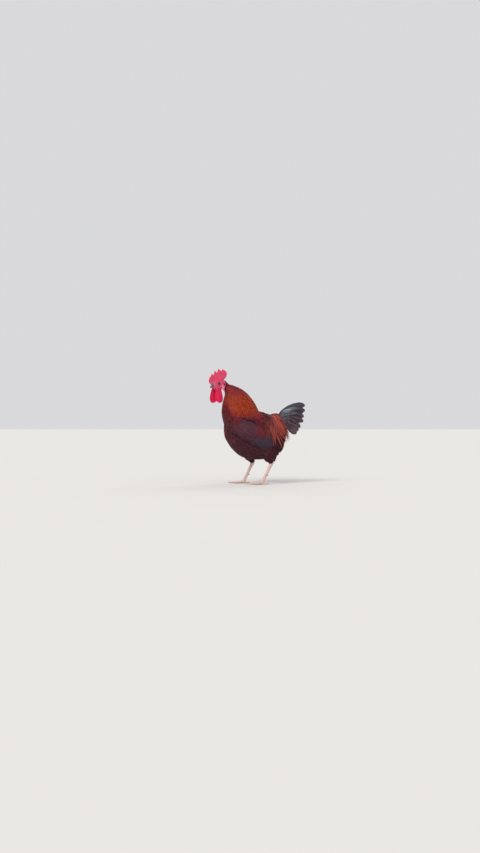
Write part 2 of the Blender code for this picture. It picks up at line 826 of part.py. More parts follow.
def toe_rings(turn, length, radius, grow=0.0):
    """Rings of one toe from the foot's middle outwards, with a raised plate at every second ring."""
    ahead = Vector((math.sin(turn), -math.cos(turn), 0))
    side = ahead.cross(AXIS_Z)
    root = Vector((LEG_X, FOOT_Y, 0))
    rings = []
    for i in range(TOE_SCUTES):
        for part, ridge in ((0.05, SCUTE_HEIGHT), (0.95, 0.0)):
            share = (i + part) / TOE_SCUTES
            thick = radius * (1 - (1 - TOE_TIP_SHARE) * share) + grow
            pad = 1 + 0.10 * math.cos(math.tau * share * 2.5)
            height = TOE_CENTRE_Z + (TOE_ROOT_Z - TOE_CENTRE_Z) * (1 - share) ** 4
            centre = root + ahead * (length * share + grow * (2 * share - 1)) + AXIS_Z * height
            ring = []
            for angle in angles(TOE_SIDES):
                across, up = math.sin(angle), math.cos(angle)
                out = thick * pad + ridge * max(0.0, up)
                ring.append(centre + side * across * out + AXIS_Z * up * out)
            rings.append(ring)
    return rings


def flatten_sole(part, level):
    """Cuts the part flat at this level, so that it rests there."""
    work = bmesh.new()
    work.from_mesh(part.data)
    everything = work.verts[:] + work.edges[:] + work.faces[:]
    cut = bmesh.ops.bisect_plane(
        work, geom=everything, plane_co=(0, 0, level), plane_no=(0, 0, -1), clear_outer=True
    )
    edges = [item for item in cut["geom_cut"] if isinstance(item, bmesh.types.BMEdge)]
    bmesh.ops.holes_fill(work, edges=edges, sides=0)
    bmesh.ops.recalc_face_normals(work, faces=work.faces)
    work.to_mesh(part.data)
    work.free()
    return part


def foot_solid(name, side, collection, grow=0.0):
    toes = []
    for toe, turn, length, radius in TOES:
        rings = toe_rings(math.radians(turn), length, radius, grow)
        mesh = placed(mesh_of_rings(toe, rings), leg_matrix(side))
        toes.append(object_of(toe, mesh, collection))
    palm = ball("palm", PALM_PLACE, PALM_HALF_SIZES, collection, None, 10, 7, grow)
    placed(palm.data, leg_matrix(side))
    foot = boolean(palm, toes, "UNION")
    foot.name = name
    return flatten_sole(foot, -grow)


def horn_mesh(name, start, ahead, length, radius, bend):
    """A curved cone from start along ahead, whose tip bends down by this share of its length."""
    side = ahead.cross(AXIS_Z).normalized()
    loops = []
    for i in range(CLAW_RINGS):
        share = i / (CLAW_RINGS - 1)
        centre = start + ahead * length * share - AXIS_Z * bend * length * share**2
        out = radius * (1 - 0.92 * share)
        loops.append([
            centre + side * out * math.sin(a) + ahead.cross(side) * out * math.cos(a)
            for a in angles(CLAW_SIDES)
        ])
    return mesh_of_rings(name, loops)


# The parts
def make_torso(parts, spare):
    return boolean(torso_solid(parts), [saddle_base(spare, GAP)], "DIFFERENCE")


def make_head(parts, spare):
    head = head_solid(parts)
    boolean(head, [lid_ring(side, spare) for side in SIDES.values()], "UNION")
    x, y, z = GAPE_PLACE
    cutters = [eye_ball(side, spare, GAP) for side in SIDES.values()]
    for side in SIDES.values():
        cutters.append(ball("gape", (side * x, y, z), GAPE_HALF_SIZES, spare, head_matrix(), 8, 6))
    return boolean(head, cutters, "DIFFERENCE")


def make_eyes(parts):
    eyes = []
    for word, side in SIDES.items():
        eye = eye_ball(side, parts)
        eye.name = f"eye_{word}"
        eyes.append(eye)
    return eyes


def make_beak(parts, spare):
    upper = upper_beak_solid(parts)
    lower = lower_beak_solid(parts)
    x, y, z = NOSTRIL_PLACE
    nostrils = [
        ball("nostril", (side * x, y, z), NOSTRIL_HALF_SIZES, spare, head_matrix(), 8, 6)
        for side in SIDES.values()
    ]
    boolean(upper, [head_solid(spare, GAP), *nostrils], "DIFFERENCE")
    boolean(lower, [head_solid(spare, GAP)], "DIFFERENCE")
    return [upper, lower]


def make_comb(parts, spare):
    comb = comb_solid(parts)
    return boolean(comb, [head_solid(spare, GAP), upper_beak_solid(spare, GAP)], "DIFFERENCE")


def make_wattles(parts, spare):
    wattles = []
    for word, side in SIDES.items():
        wattle = wattle_solid(f"wattle_{word}", side, parts)
        cutters = [head_solid(spare, GAP), lower_beak_solid(spare, GAP)]
        wattles.append(boolean(wattle, cutters, "DIFFERENCE"))
    return wattles


def make_lobes(parts, spare):
    lobes = []
    for word, side in SIDES.items():
        lobe = lobe_solid(f"earlobe_{word}", side, parts)
        cutters = [head_solid(spare, GAP), wattle_solid("wattle", side, spare, GAP)]
        lobes.append(boolean(lobe, cutters, "DIFFERENCE"))
    return lobes


def hackle_depth(angle):
    """How deep the hackle lies at this angle from the nape: its full depth except on the throat."""
    throat = min(1.0, max(0.0, (abs(angle) - THROAT_ANGLE) / THROAT_FADE))
    return HACKLE_DEPTH * (1 - (1 - THROAT_DEPTH) * throat)


def neck_core(share, angle, grow=0.0):
    wrapped = (angle + math.pi) % math.tau - math.pi
    return neck_point(share, angle, grow - hackle_depth(wrapped))


def neck_solid(collection, grow=0.0):
    mesh = form_mesh("neck", lambda s, a: neck_core(s, a, grow), NECK_RINGS, NECK_SIDES)
    return object_of("neck", mesh, collection)


def hackle_route(angle, tip, row_length, depth):
    """A route down the neck, and on past its end in the direction that it had there."""
    def route(share):
        place = tip + row_length * (share - 1)
        rise = rising(-ROOT_DEPTH, depth * (0.25 + 0.75 * share), share, POINTED_OUTLINE)
        on_neck = min(place, NECK_END)
        point, out = surface_of(neck_core, on_neck, angle, rise)
        if place > on_neck:
            before, _ = surface_of(neck_core, on_neck - 0.04, angle, rise)
            point = point + (point - before) / 0.04 * (place - on_neck)
        return point, out

    return route


def cape_edge(spread):
    """The share of the neck where the cape ends, at this share of the spread from the nape."""
    for (start, here), (end, there) in zip(CAPE_EDGE, CAPE_EDGE[1:]):
        if spread <= end:
            return here + (there - here) * (spread - start) / (end - start)
    return CAPE_EDGE[-1][1]


def hackle_vanes(ground):
    rng = random.Random(7)
    vanes = []
    for row, (share, count) in enumerate(HACKLE_ROWS):
        pitch = 2 * HACKLE_SPREAD / count
        for i in range(count):
            angle = -HACKLE_SPREAD + pitch * (i + 0.5 + HACKLE_STRAY[0] * rng.uniform(-1, 1))
            edge = cape_edge(abs(angle) / HACKLE_SPREAD)
            tip = edge * share + HACKLE_STRAY[1] * rng.uniform(-1, 1)
            length = min(HACKLE_LENGTH * (0.75 + 0.25 * share), tip - 0.01)
            middle = min(tip - length / 2, NECK_END)
            ends = [neck_core(middle, angle + turn) for turn in (-pitch / 2, pitch / 2)]
            spacing = (ends[1] - ends[0]).length
            route = hackle_route(angle, tip, length, hackle_depth(angle))
            vane = vane_of(route, POINTED_OUTLINE, spacing * HACKLE_OVERLAP, HACKLE_TILT)
            height = CLEARANCE + TIER_STEP * (len(HACKLE_ROWS) - 1 - row)
            vanes.append(ground.laid(vane, height, 2))
    return vanes


def make_neck(parts, spare, ground, neighbours):
    neck = neck_solid(parts)
    boolean(neck, vane_solids(hackle_vanes(ground), spare), "UNION")
    cutters = [torso_solid(spare, GAP), head_solid(spare, GAP), saddle_base(spare, GAP)]
    cutters += vane_solids(neighbours, spare, GAP)
    for side in SIDES.values():
        cutters.append(lobe_solid("lobe", side, spare, GAP))
        cutters.append(wattle_solid("wattle", side, spare, GAP))
        cutters.append(wing_base(side, spare, GAP))
    return boolean(neck, cutters, "DIFFERENCE")


def make_thighs(parts, spare):
    thighs = [thigh_solid(f"thigh_{word}", side, parts) for word, side in SIDES.items()]
    return [boolean(thigh, [torso_solid(spare, GAP)], "DIFFERENCE") for thigh in thighs]


def make_leg(word, side, parts, spare):
    shank = shank_solid(f"shank_{word}", side, parts)
    cutters = [thigh_solid("thigh", side, spare, GAP), foot_solid("foot", side, spare, GAP)]
    cutters.append(torso_solid(spare, GAP))
    boolean(shank, cutters, "DIFFERENCE")
    return [shank, foot_solid(f"foot_{word}", side, parts)]


def make_horns(word, side, parts, spare):
    return [make_spur(word, side, parts, spare), *make_claws(word, side, parts, spare)]


def make_spur(word, side, parts, spare):
    y, z, half_depth, _ = row_at(SHANK_SHAPE, SPUR_SHARE)
    inside = half_depth / 2
    start = Vector((LEG_X, y, z)) + SPUR_AHEAD * inside
    mesh = horn_mesh("spur", start, SPUR_AHEAD, SPUR_LENGTH + inside, SPUR_RADIUS, SPUR_BEND)
    spur = object_of(f"spur_{word}", placed(mesh, leg_matrix(side)), parts)
    return boolean(spur, [shank_solid("shank", side, spare, GAP)], "DIFFERENCE")


def make_claws(word, side, parts, spare):
    claws = []
    for toe, turn, length, _ in TOES:
        angle = math.radians(turn)
        ahead = Vector((math.sin(angle), -math.cos(angle), 0))
        start = Vector((LEG_X, FOOT_Y, CLAW_Z)) + ahead * (length - CLAW_INSIDE)
        mesh = horn_mesh("claw", start, ahead, CLAW_LENGTH, CLAW_RADIUS, CLAW_BEND)
        claw = object_of(f"claw_{toe}_{word}", placed(mesh, leg_matrix(side)), parts)
        boolean(claw, [foot_solid("foot", side, spare, GAP)], "DIFFERENCE")
        claws.append(flatten_sole(claw, 0.0))
    return claws


def wing_place(along, across):
    """The (y, z) of a place on the folded wing, from its shoulder and its middle line."""
    run = WING_TIP - WING_SHOULDER
    up = Vector((-run.y, run.x)).normalized()
    return WING_SHOULDER + run * along + up * across


def wing_base_half(place):
    """Half the base's width at this share of its length."""
    return WING_BASE_HALF * math.sin(math.pi * (0.16 + 0.70 * place)) ** 0.5


def wing_base_height(place, across):
    """The base's height at this share of its length and of its half width."""
    crown = 1 - WING_BASE_CROWN * across**2
    return WING_BASE_HEIGHT * (1 - WING_BASE_THINNING * place) * crown


def wing_base(side, collection, grow=0.0):
    """The fleshy front of the wing, a low mound on the flank that thins out towards the rear."""
    lower, upper = [], []
    for i in range(WING_BASE_ROWS):
        place = i / (WING_BASE_ROWS - 1)
        along = WING_BASE_START + WING_BASE_LENGTH * place + grow * 5 * (2 * place - 1)
        half = wing_base_half(place) + grow
        low_row, high_row = [], []
        for j in range(WING_BASE_COLUMNS + 1):
            across = 2 * j / WING_BASE_COLUMNS - 1
            y, z = wing_place(along, across * half + WING_BASE_RISE)
            height = wing_base_height(place, across)
            low_row.append(on_flank(side, y, z, CLEARANCE - grow)[0])
            high_row.append(on_flank(side, y, z, CLEARANCE + height + grow)[0])
        lower.append(low_row)
        upper.append(high_row)
    return object_of("wing", sheet_mesh("wing", lower, upper), collection)


def wing_vanes(side, ground):
    vanes = []
    for _, root, tip, low, high, count, half_width, height, outline in WING_TIERS:
        for i in range(count):
            place = i / (count - 1)
            across = low + (high - low) * place
            end = tip - WING_ROUNDING * (2 * place - 1) ** 2
            in_base = (root - WING_BASE_START) / WING_BASE_LENGTH
            off_middle = across * (1 - WING_FAN) / wing_base_half(in_base)
            below = CLEARANCE + 0.5 * wing_base_height(in_base, off_middle)

            def route(share, across=across, end=end, below=below):
                fan = 1 - WING_FAN * (1 - share)
                y, z = wing_place(root + (end - root) * share, across * fan)
                return on_flank(side, y, z, rising(below, height, share, outline))

            vane = vane_of(route, outline, half_width, side * WING_TILT)
            vanes.append(ground.laid(vane, height, 1))
    return vanes


def make_wings(parts, spare, vanes):
    wings = []
    for word, side in SIDES.items():
        wing = wing_base(side, parts)
        wing.name = f"wing_{word}"
        boolean(wing, vane_solids(vanes[word], spare), "UNION")
        cutters = [torso_solid(spare, GAP), thigh_solid("thigh", side, spare, GAP)]
        wings.append(boolean(wing, cutters, "DIFFERENCE"))
    return wings


def tail_root(collection, grow=0.0):
    return ball("tail", TAIL_ROOT, TAIL_ROOT_HALF, collection, None, 12, 8, grow)


def tail_route(side, layer, angle, length, start):
    """A route from inside the root, out and back at this angle, and bowed upwards."""
    root = TAIL_ROOT + Vector((0, start * math.cos(angle), start * math.sin(angle)))
    ahead = Vector((0, math.cos(angle), math.sin(angle)))
    upwards = Vector((0, -math.sin(angle), math.cos(angle)))

    def route(share):
        away = TAIL_APART + TAIL_LAYER * layer + length * share * math.tan(TAIL_TENT * layer)
        point = root + (ahead * share + upwards * TAIL_BOW * 4 * share * (1 - share)) * length
        return point + AXIS_X * side * away, Vector((side, 0, TAIL_LEAN)).normalized()

    return route


def tail_vanes():
    vanes = []
    for side in SIDES.values():
        for i in range(TAIL_FEATHERS):
            place = i / (TAIL_FEATHERS - 1)
            angle = TAIL_TOP_ANGLE - TAIL_FAN * place
            length = TAIL_LOW_LENGTH + (TAIL_TOP_LENGTH - TAIL_LOW_LENGTH) * (1 - place) ** 2
            route = tail_route(side, i, angle, length, TAIL_START)
            vanes.append(vane_of(route, FLIGHT_OUTLINE, TAIL_HALF_WIDTH))
        for count, length, half_width, first, last, layer in TAIL_COVERTS:
            for i in range(count):
                angle = math.radians(first + (last - first) * i / (count - 1))
                on_layer = layer + 0.3 * (i % 2)
                route = tail_route(side, on_layer, angle, length, TAIL_COVERT_START)
                vanes.append(vane_of(route, ROUND_OUTLINE, half_width, side * TAIL_COVERT_TILT))
    return vanes


def make_tail(parts, spare, vanes):
    tail = tail_root(parts)
    boolean(tail, vane_solids(vanes, spare), "UNION")
    return boolean(tail, [torso_solid(spare, GAP)], "DIFFERENCE")


def saddle_base(collection, grow=0.0):
    """The root of the saddle, a strip let into the rear of the back."""
    front = SADDLE_FRONT_SHARE - SADDLE_BASE_MARGIN - grow / TORSO_LENGTH
    rear = SADDLE_REAR_SHARE + SADDLE_BASE_MARGIN + grow / TORSO_LENGTH
    spread = SADDLE_BASE_SPREAD + grow / (TORSO_WIDTH / 2)
    across = [spread * (2 * j / SADDLE_BASE_COLUMNS - 1) for j in range(SADDLE_BASE_COLUMNS + 1)]
    lower, upper = [], []
    for i in range(SADDLE_BASE_ROWS):
        share = front + (rear - front) * i / (SADDLE_BASE_ROWS - 1)
        for rows, rise in ((lower, -SADDLE_BASE_DEPTH - grow), (upper, SADDLE_BASE_HEIGHT + grow)):
            rows.append([surface_of(torso_point, share, angle, rise)[0] for angle in across])
    return object_of("saddle", sheet_mesh("saddle", lower, upper), collection)


def saddle_route(side, start, tip, height):
    """A route from a place (y, z) high on the flank down and back to its tip."""
    def route(share):
        y = start[0] + (tip[0] - start[0]) * share**1.2
        z = start[1] + (tip[1] - start[1]) * share
        rise = rising(-ROOT_DEPTH, height + SADDLE_LIFT * share, share, POINTED_OUTLINE)
        point, out = on_flank(side, min(y, SADDLE_LAST_Y), z, rise)
        return Vector((point.x, y + out.y * rise, point.z)), out

    return route


def saddle_vanes(ground):
    rng = random.Random(11)
    vanes = []
    for side in SIDES.values():
        for row, (root_angle, drop, count) in enumerate(SADDLE_ROWS):
            half_width = SADDLE_HALF_WIDTH * (SADDLE_ROWS[0][2] / count) ** 0.6
            for i in range(count):
                place = (i + 0.5) / count
                share = SADDLE_FRONT_SHARE + (SADDLE_REAR_SHARE - SADDLE_FRONT_SHARE) * place
                root = torso_point(share, side * math.radians(root_angle))
                tip_y = SADDLE_FIRST_TIP[0] + SADDLE_TIP_REACH[0] * place
                tip_z = SADDLE_FIRST_TIP[1] + SADDLE_TIP_REACH[1] * place**2 + rng.uniform(-0.005, 0.005)
                tip = (root.y + (tip_y - root.y) * drop, root.z + (tip_z - root.z) * drop)
                route = saddle_route(side, (root.y, root.z), tip, CLEARANCE + TIER_STEP * row)
                vane = vane_of(route, POINTED_OUTLINE, half_width, side * SADDLE_TILT)
                vanes.append(ground.laid(vane, CLEARANCE + TIER_STEP * row, 1))
    return vanes


def make_saddle(parts, spare, vanes, neighbours):
    saddle = saddle_base(parts)
    boolean(saddle, vane_solids(vanes, spare), "UNION")
    cutters = [neck_solid(spare, GAP), tail_root(spare, GAP)]
    cutters += [wing_base(side, spare, GAP) for side in SIDES.values()]
    cutters += vane_solids(neighbours, spare, GAP)
    return boolean(saddle, cutters, "DIFFERENCE")


def main():
    clear_scene()
    parts = new_collection("rooster")
    spare = new_collection("spare")
    torso = finish_part(make_torso(parts, spare), "breast_feather")
    thighs = [finish_part(thigh, "breast_feather") for thigh in make_thighs(parts, spare)]

    on_head = [finish_part(make_head(parts, spare), "red_skin")]
    on_head += [finish_part(eye, "eye") for eye in make_eyes(parts)]
    on_head += [finish_part(half, "horn") for half in make_beak(parts, spare)]
    on_head.append(finish_part(make_comb(parts, spare), "red_skin"))
    on_head += [finish_part(wattle, "red_skin") for wattle in make_wattles(parts, spare)]
    on_head += [finish_part(lobe, "earlobe_skin") for lobe in make_lobes(parts, spare)]
    hold("head_frame", head_matrix(), on_head, parts)

    flank = Ground([torso, *thighs])
    on_wings = {word: wing_vanes(side, flank) for word, side in SIDES.items()}
    wings = [finish_part(wing, "wing_feather") for wing in make_wings(parts, spare, on_wings)]
    on_tail = tail_vanes()
    tail = finish_part(make_tail(parts, spare, on_tail), "tail_feather")
    under = [*on_wings["left"], *on_wings["right"], *on_tail]
    on_saddle = saddle_vanes(Ground([torso, *thighs, *wings, tail]))
    saddle = finish_part(make_saddle(parts, spare, on_saddle, under), "saddle_feather")
    cape = Ground([torso, *thighs, *wings, tail, saddle])
    finish_part(make_neck(parts, spare, cape, under + on_saddle), "hackle_feather")

    for word, side in SIDES.items():
        leg = [finish_part(part, "leg_scale") for part in make_leg(word, side, parts, spare)]
        leg += [finish_part(part, "horn") for part in make_horns(word, side, parts, spare)]
        hold(f"{word}_leg_frame", leg_place(side), leg, parts)
    bpy.data.collections.remove(spare)


main()
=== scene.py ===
"""A life-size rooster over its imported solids: skin, feathers, head, legs and a plain stage.

The bird faces -Y, its left side is towards +X, and it stands on the floor at z = 0. Feathers are
laid on the skin from root to tip, each as its own closed vane, and then joined by body region.
"""

import math

import bpy
import numpy as np
from mathutils import Euler, Matrix, Vector
from mathutils.bvhtree import BVHTree
from mathutils.kdtree import KDTree


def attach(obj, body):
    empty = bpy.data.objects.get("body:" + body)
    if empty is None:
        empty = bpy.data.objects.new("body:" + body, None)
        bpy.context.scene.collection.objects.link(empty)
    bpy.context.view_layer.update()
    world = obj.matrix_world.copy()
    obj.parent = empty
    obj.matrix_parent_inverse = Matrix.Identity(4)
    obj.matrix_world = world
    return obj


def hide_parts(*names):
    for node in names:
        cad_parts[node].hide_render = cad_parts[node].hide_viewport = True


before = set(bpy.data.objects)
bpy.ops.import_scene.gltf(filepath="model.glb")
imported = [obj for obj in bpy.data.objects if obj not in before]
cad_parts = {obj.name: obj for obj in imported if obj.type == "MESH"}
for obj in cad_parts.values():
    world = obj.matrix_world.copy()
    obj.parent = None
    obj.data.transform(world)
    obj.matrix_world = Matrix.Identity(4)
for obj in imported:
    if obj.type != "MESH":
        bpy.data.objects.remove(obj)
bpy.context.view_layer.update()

bl_info = {
    "name": "Standing Rooster",
    "version": (1, 0, 0),
    "blender": (4, 5, 0),
    "location": "View3D > Sidebar > Rooster",
    "description": "Builds the skin, plumage, head and legs of a life-size rooster",
    "category": "Object",
}

SIDES = {"left": 1, "right": -1}
WINGS = ("wing_coat_left", "wing_coat_right")

# Cell sizes at which each skin's parts fuse
BODY_VOXEL = 0.0026
FACE_VOXEL = 0.00058
LEG_VOXEL = 0.0006

# Torso: rows of (place along, top, bottom, width) as shares of its length, depth and width
BREAST_Y = -0.137
BELLY_Z = 0.0965
TORSO_LENGTH = 0.252
TORSO_DEPTH = 0.2095
TORSO_WIDTH = 0.128
TORSO_SQUARENESS = 2.25
BACK_FULLNESS = 0.05
TORSO_SHAPE = (
    (0.000, 0.615, 0.590, 0.06),
    (0.020, 0.770, 0.446, 0.36),
    (0.075, 0.890, 0.322, 0.60),
    (0.155, 0.950, 0.198, 0.78),
    (0.274, 0.985, 0.079, 0.92),
    (0.405, 0.985, 0.018, 0.99),
    (0.544, 0.960, 0.000, 1.00),
    (0.683, 0.920, 0.014, 0.94),
    (0.794, 0.895, 0.072, 0.82),
    (0.889, 0.850, 0.174, 0.64),
    (0.964, 0.760, 0.310, 0.40),
    (1.000, 0.560, 0.525, 0.06),
)
# Neck: rows of (front y, front z, back y, back z, half width) from the head down
NECK_SHAPE = (
    (-0.1370, 0.3930, -0.1215, 0.4150, 0.0150),
    (-0.1310, 0.3640, -0.0790, 0.4015, 0.0260),
    (-0.1385, 0.3290, -0.0400, 0.3750, 0.0370),
    (-0.1445, 0.2970, -0.0140, 0.3420, 0.0470),
    (-0.1410, 0.2660, 0.0030, 0.3110, 0.0545),
    (-0.1310, 0.2310, 0.0170, 0.2720, 0.0560),
)
# Legs: rows of (y, z, half depth, half width) of the left one
LEG_X = 0.034
RIGHT_LEG_SHIFT = -0.0755
THIGH_SHAPE = (
    (0.0300, 0.1800, 0.0330, 0.0180),
    (0.0400, 0.1450, 0.0330, 0.0210),
    (0.0480, 0.1150, 0.0250, 0.0185),
    (0.0545, 0.0970, 0.0150, 0.0130),
    (0.0585, 0.0840, 0.0092, 0.0085),
)
SHANK_SHAPE = (
    (0.0610, 0.0960, 0.0060, 0.0055),
    (0.0590, 0.0860, 0.0076, 0.0064),
    (0.0480, 0.0630, 0.0058, 0.0050),
    (0.0340, 0.0340, 0.0060, 0.0052),
    (0.0255, 0.0170, 0.0070, 0.0062),
    (0.0215, 0.0090, 0.0068, 0.0068),
)
FOOT_Y = 0.0205
FOOT_PLACE = (LEG_X, FOOT_Y, 0.0065)
FOOT_HALF_SIZES = (0.0082, 0.0085, 0.0072)
# Toes: (turn from straight ahead in degrees on the left foot, length, root radius, scutes)
TOES = (
    (36, 0.0420, 0.0046, 9),
    (2, 0.0580, 0.0050, 12),
    (-34, 0.0450, 0.0045, 9),
    (168, 0.0230, 0.0038, 5),
)
# Plates down the front of the shank, and how far every plate stands out
SHANK_SCUTES = 15
SCUTE_HEIGHT = 0.00045
# Heights of a toe's middle line, along it and at its root
TOE_CENTRE_Z = 0.0036
TOE_ROOT_Z = 0.0085
# Claws: their size, and the height at which they start
CLAW_LENGTH = 0.0125
CLAW_RADIUS = 0.0027
CLAW_Z = 0.0042
# Spurs: their place down the shank, the way they point, and their size
SPUR_SHARE = 0.60
SPUR_AHEAD = (-0.45, 0.85, 0.18)
SPUR_LENGTH = 0.0150
SPUR_RADIUS = 0.0034

# Wing: its shoulder and tip on the flank in (y, z)
WING_SHOULDER = np.array((-0.0880, 0.2420))
WING_TIP = np.array((0.0920, 0.1420))
# Tiers: (root, tip, lowest and highest place across, feathers, half width, layer, outline)
WING_TIERS = (
    (0.34, 1.00, -0.0225, 0.0050, 8, 0.0058, 0.0000, "flight"),
    (0.28, 0.90, -0.0270, 0.0390, 13, 0.0064, 0.0006, "flight"),
    (0.22, 0.64, -0.0310, 0.0390, 14, 0.0060, 0.0013, "round"),
    (0.16, 0.50, -0.0305, 0.0375, 14, 0.0058, 0.0019, "round"),
    (0.12, 0.41, -0.0295, 0.0360, 13, 0.0058, 0.0024, "round"),
    (0.08, 0.33, -0.0285, 0.0345, 13, 0.0056, 0.0028, "round"),
    (0.03, 0.26, -0.0270, 0.0325, 12, 0.0056, 0.0031, "round"),
    (-0.02, 0.19, -0.0250, 0.0300, 12, 0.0054, 0.0034, "round"),
    (-0.06, 0.13, -0.0225, 0.0270, 11, 0.0052, 0.0036, "round"),
    (-0.09, 0.07, -0.0190, 0.0230, 9, 0.0050, 0.0037, "round"),
)
WING_FAN = 0.25
WING_ROUNDING = 0.10
# How far the flesh of the folded wing swells, and its half depth across
WING_SWELL = 0.0080
WING_HALF_DEPTH = 0.041

# Tail: its root, and its groups of feathers, with lengths as shares of the longest
TAIL_ROOT = Vector((0.0, 0.0760, 0.2620))
# Groups: (feathers a side, longest, shortest, half width, first and last angle, layer, bow, pale, outline),
# where pale is the strength of the painted sheen
TAIL_GROUPS = (
    (7, 1.00, 0.76, 0.0125, 27.5, -36.0, 0.0, 0.13, 0.00, "flight"),
    (6, 0.90, 0.66, 0.0072, 19.0, -34.0, 5.0, 0.21, 0.55, "pointed"),
    (7, 0.72, 0.52, 0.0066, 22.0, -40.0, 6.2, 0.22, 0.90, "pointed"),
    (9, 0.52, 0.40, 0.0066, 26.0, -46.0, 7.4, 0.18, 0.75, "round"),
    (9, 0.36, 0.28, 0.0060, 30.0, -52.0, 8.6, 0.12, 0.35, "round"),
)

# Cape's lower edge: (y, z) from front to rear
CAPE_EDGE = (
    (-0.150, 0.320), (-0.118, 0.308), (-0.098, 0.268), (-0.071, 0.257),
    (-0.024, 0.258), (0.010, 0.266), (0.026, 0.275),
)
# Neck's middle line: (z, y) from its base up
NECK_AXIS = (
    (0.2515, -0.057), (0.2885, -0.069), (0.320, -0.079), (0.352, -0.089), (0.383, -0.105), (0.404, -0.129),
)
SADDLE_TUFTS = 70

# Head's own frame: +X to its left, -Y forward
HEAD_PLACE = Vector((0.004, -0.1375, 0.4085))
HEAD_TURN = math.radians(25)
HEAD_NOD = math.radians(10)
# Head and beak: rows of (forward, half width, top, bottom)
HEAD_SHAPE = (
    (-0.0140, 0.0015, 0.0030, 0.0000),
    (-0.0120, 0.0085, 0.0100, -0.0080),
    (-0.0050, 0.0135, 0.0150, -0.0140),
    (0.0070, 0.0160, 0.0175, -0.0165),
    (0.0190, 0.0160, 0.0178, -0.0170),
    (0.0290, 0.0145, 0.0165, -0.0160),
    (0.0380, 0.0115, 0.0135, -0.0135),
    (0.0450, 0.0080, 0.0090, -0.0100),
    (0.0480, 0.0020, 0.0020, -0.0040),
)
UPPER_BEAK = (
    (0.0360, 0.0080, 0.0080, -0.0022),
    (0.0440, 0.0074, 0.0078, -0.0025),
    (0.0510, 0.0058, 0.0056, -0.0031),
    (0.0570, 0.0038, 0.0018, -0.0044),
    (0.0605, 0.0019, -0.0030, -0.0070),
    (0.0615, 0.0005, -0.0066, -0.0084),
)
LOWER_BEAK = (
    (0.0350, 0.0070, -0.0020, -0.0100),
    (0.0440, 0.0063, -0.0021, -0.0090),
    (0.0510, 0.0048, -0.0026, -0.0078),
    (0.0560, 0.0028, -0.0038, -0.0070),
    (0.0580, 0.0007, -0.0056, -0.0068),
)
# Nostril, as (sideways, forward, up)
NOSTRIL_PLACE = (0.0058, 0.0500, 0.0018)
NOSTRIL_HALF_SIZES = (0.0040, 0.0026, 0.0010)
NOSTRIL_DEPTH = 0.0013
# Eye: (sideways, forward, up) of its middle, and a lid's section as (radians from the opening's edge, radius)
EYE_PLACE = (0.0116, 0.0245, 0.0045)
EYE_RADIUS = 0.0056
LID_SECTION = (
    (0.00, 0.00595), (0.03, 0.00635), (0.12, 0.00675), (0.30, 0.00695), (0.58, 0.00675),
    (0.80, 0.00600), (0.62, 0.00540), (0.25, 0.00535), (0.06, 0.00555),
)
CREASE_HEIGHT = 0.00022
# Comb: rows of (forward, top, bottom) to its rear, where its points stand, and how deep the cuts between are
COMB_SHAPE = (
    (0.0620, 0.0235, 0.0205),
    (0.0580, 0.0350, 0.0110),
    (0.0520, 0.0430, 0.0040),
    (0.0420, 0.0510, 0.0060),
    (0.0280, 0.0590, 0.0110),
    (0.0150, 0.0635, 0.0130),
    (0.0015, 0.0655, 0.0150),
    (-0.0100, 0.0600, 0.0205),
    (-0.0180, 0.0530, 0.0270),
    (-0.0230, 0.0430, 0.0400),
)
COMB_TIPS = (0.06, 0.18, 0.31, 0.45, 0.60, 0.77)
COMB_NOTCHES = (0.0045, 0.0080, 0.0120, 0.0140, 0.0120)
# Wattles: rows of (share of the drop, half length, half thickness)
WATTLE_SHAPE = (
    (0.00, 0.0100, 0.0018),
    (0.20, 0.0130, 0.0022),
    (0.45, 0.0160, 0.0024),
    (0.70, 0.0170, 0.0029),
    (0.88, 0.0135, 0.0033),
    (0.97, 0.0070, 0.0024),
    (1.00, 0.0015, 0.0008),
)
WATTLE_DROP = 0.062
WATTLE_TOP_Z = 0.3930
# For each side: (sideways, forward) of the wattle's root and the swing of its tip
WATTLES = {1: (0.0105, 0.0260, -0.0060), -1: (-0.0105, 0.0360, 0.0060)}
# Earlobe: its middle, its half sizes, and its width as (share of the way down, share)
LOBE_PLACE = (0.0148, -0.0070, -0.0140)
LOBE_HALF_SIZES = (0.0028, 0.0070, 0.0130)
LOBE_OUTLINE = ((0.0, 0.35), (0.2, 0.90), (0.45, 1.0), (0.7, 0.74), (0.9, 0.36), (1.0, 0.06))
# Folds of skin: rows of (sideways, forward, up, radius)
COMB_BASE = (
    (0.0, 0.0520, 0.0050, 0.0030),
    (0.0, 0.0420, 0.0100, 0.0040),
    (0.0, 0.0290, 0.0170, 0.0044),
    (0.0, 0.0150, 0.0203, 0.0044),
    (0.0, 0.0030, 0.0195, 0.0038),
    (0.0, -0.0060, 0.0170, 0.0026),
)
BROW = (
    (0.0070, 0.0400, 0.0075, 0.0014),
    (0.0105, 0.0330, 0.0115, 0.0022),
    (0.0118, 0.0240, 0.0138, 0.0026),
    (0.0122, 0.0140, 0.0132, 0.0024),
    (0.0125, 0.0060, 0.0100, 0.0016),
)
CHEEK_FOLD = (
    (0.0078, 0.0440, -0.0070, 0.0014),
    (0.0115, 0.0350, -0.0088, 0.0020),
    (0.0138, 0.0230, -0.0100, 0.0023),
    (0.0145, 0.0110, -0.0092, 0.0021),
    (0.0145, 0.0020, -0.0050, 0.0014),
)
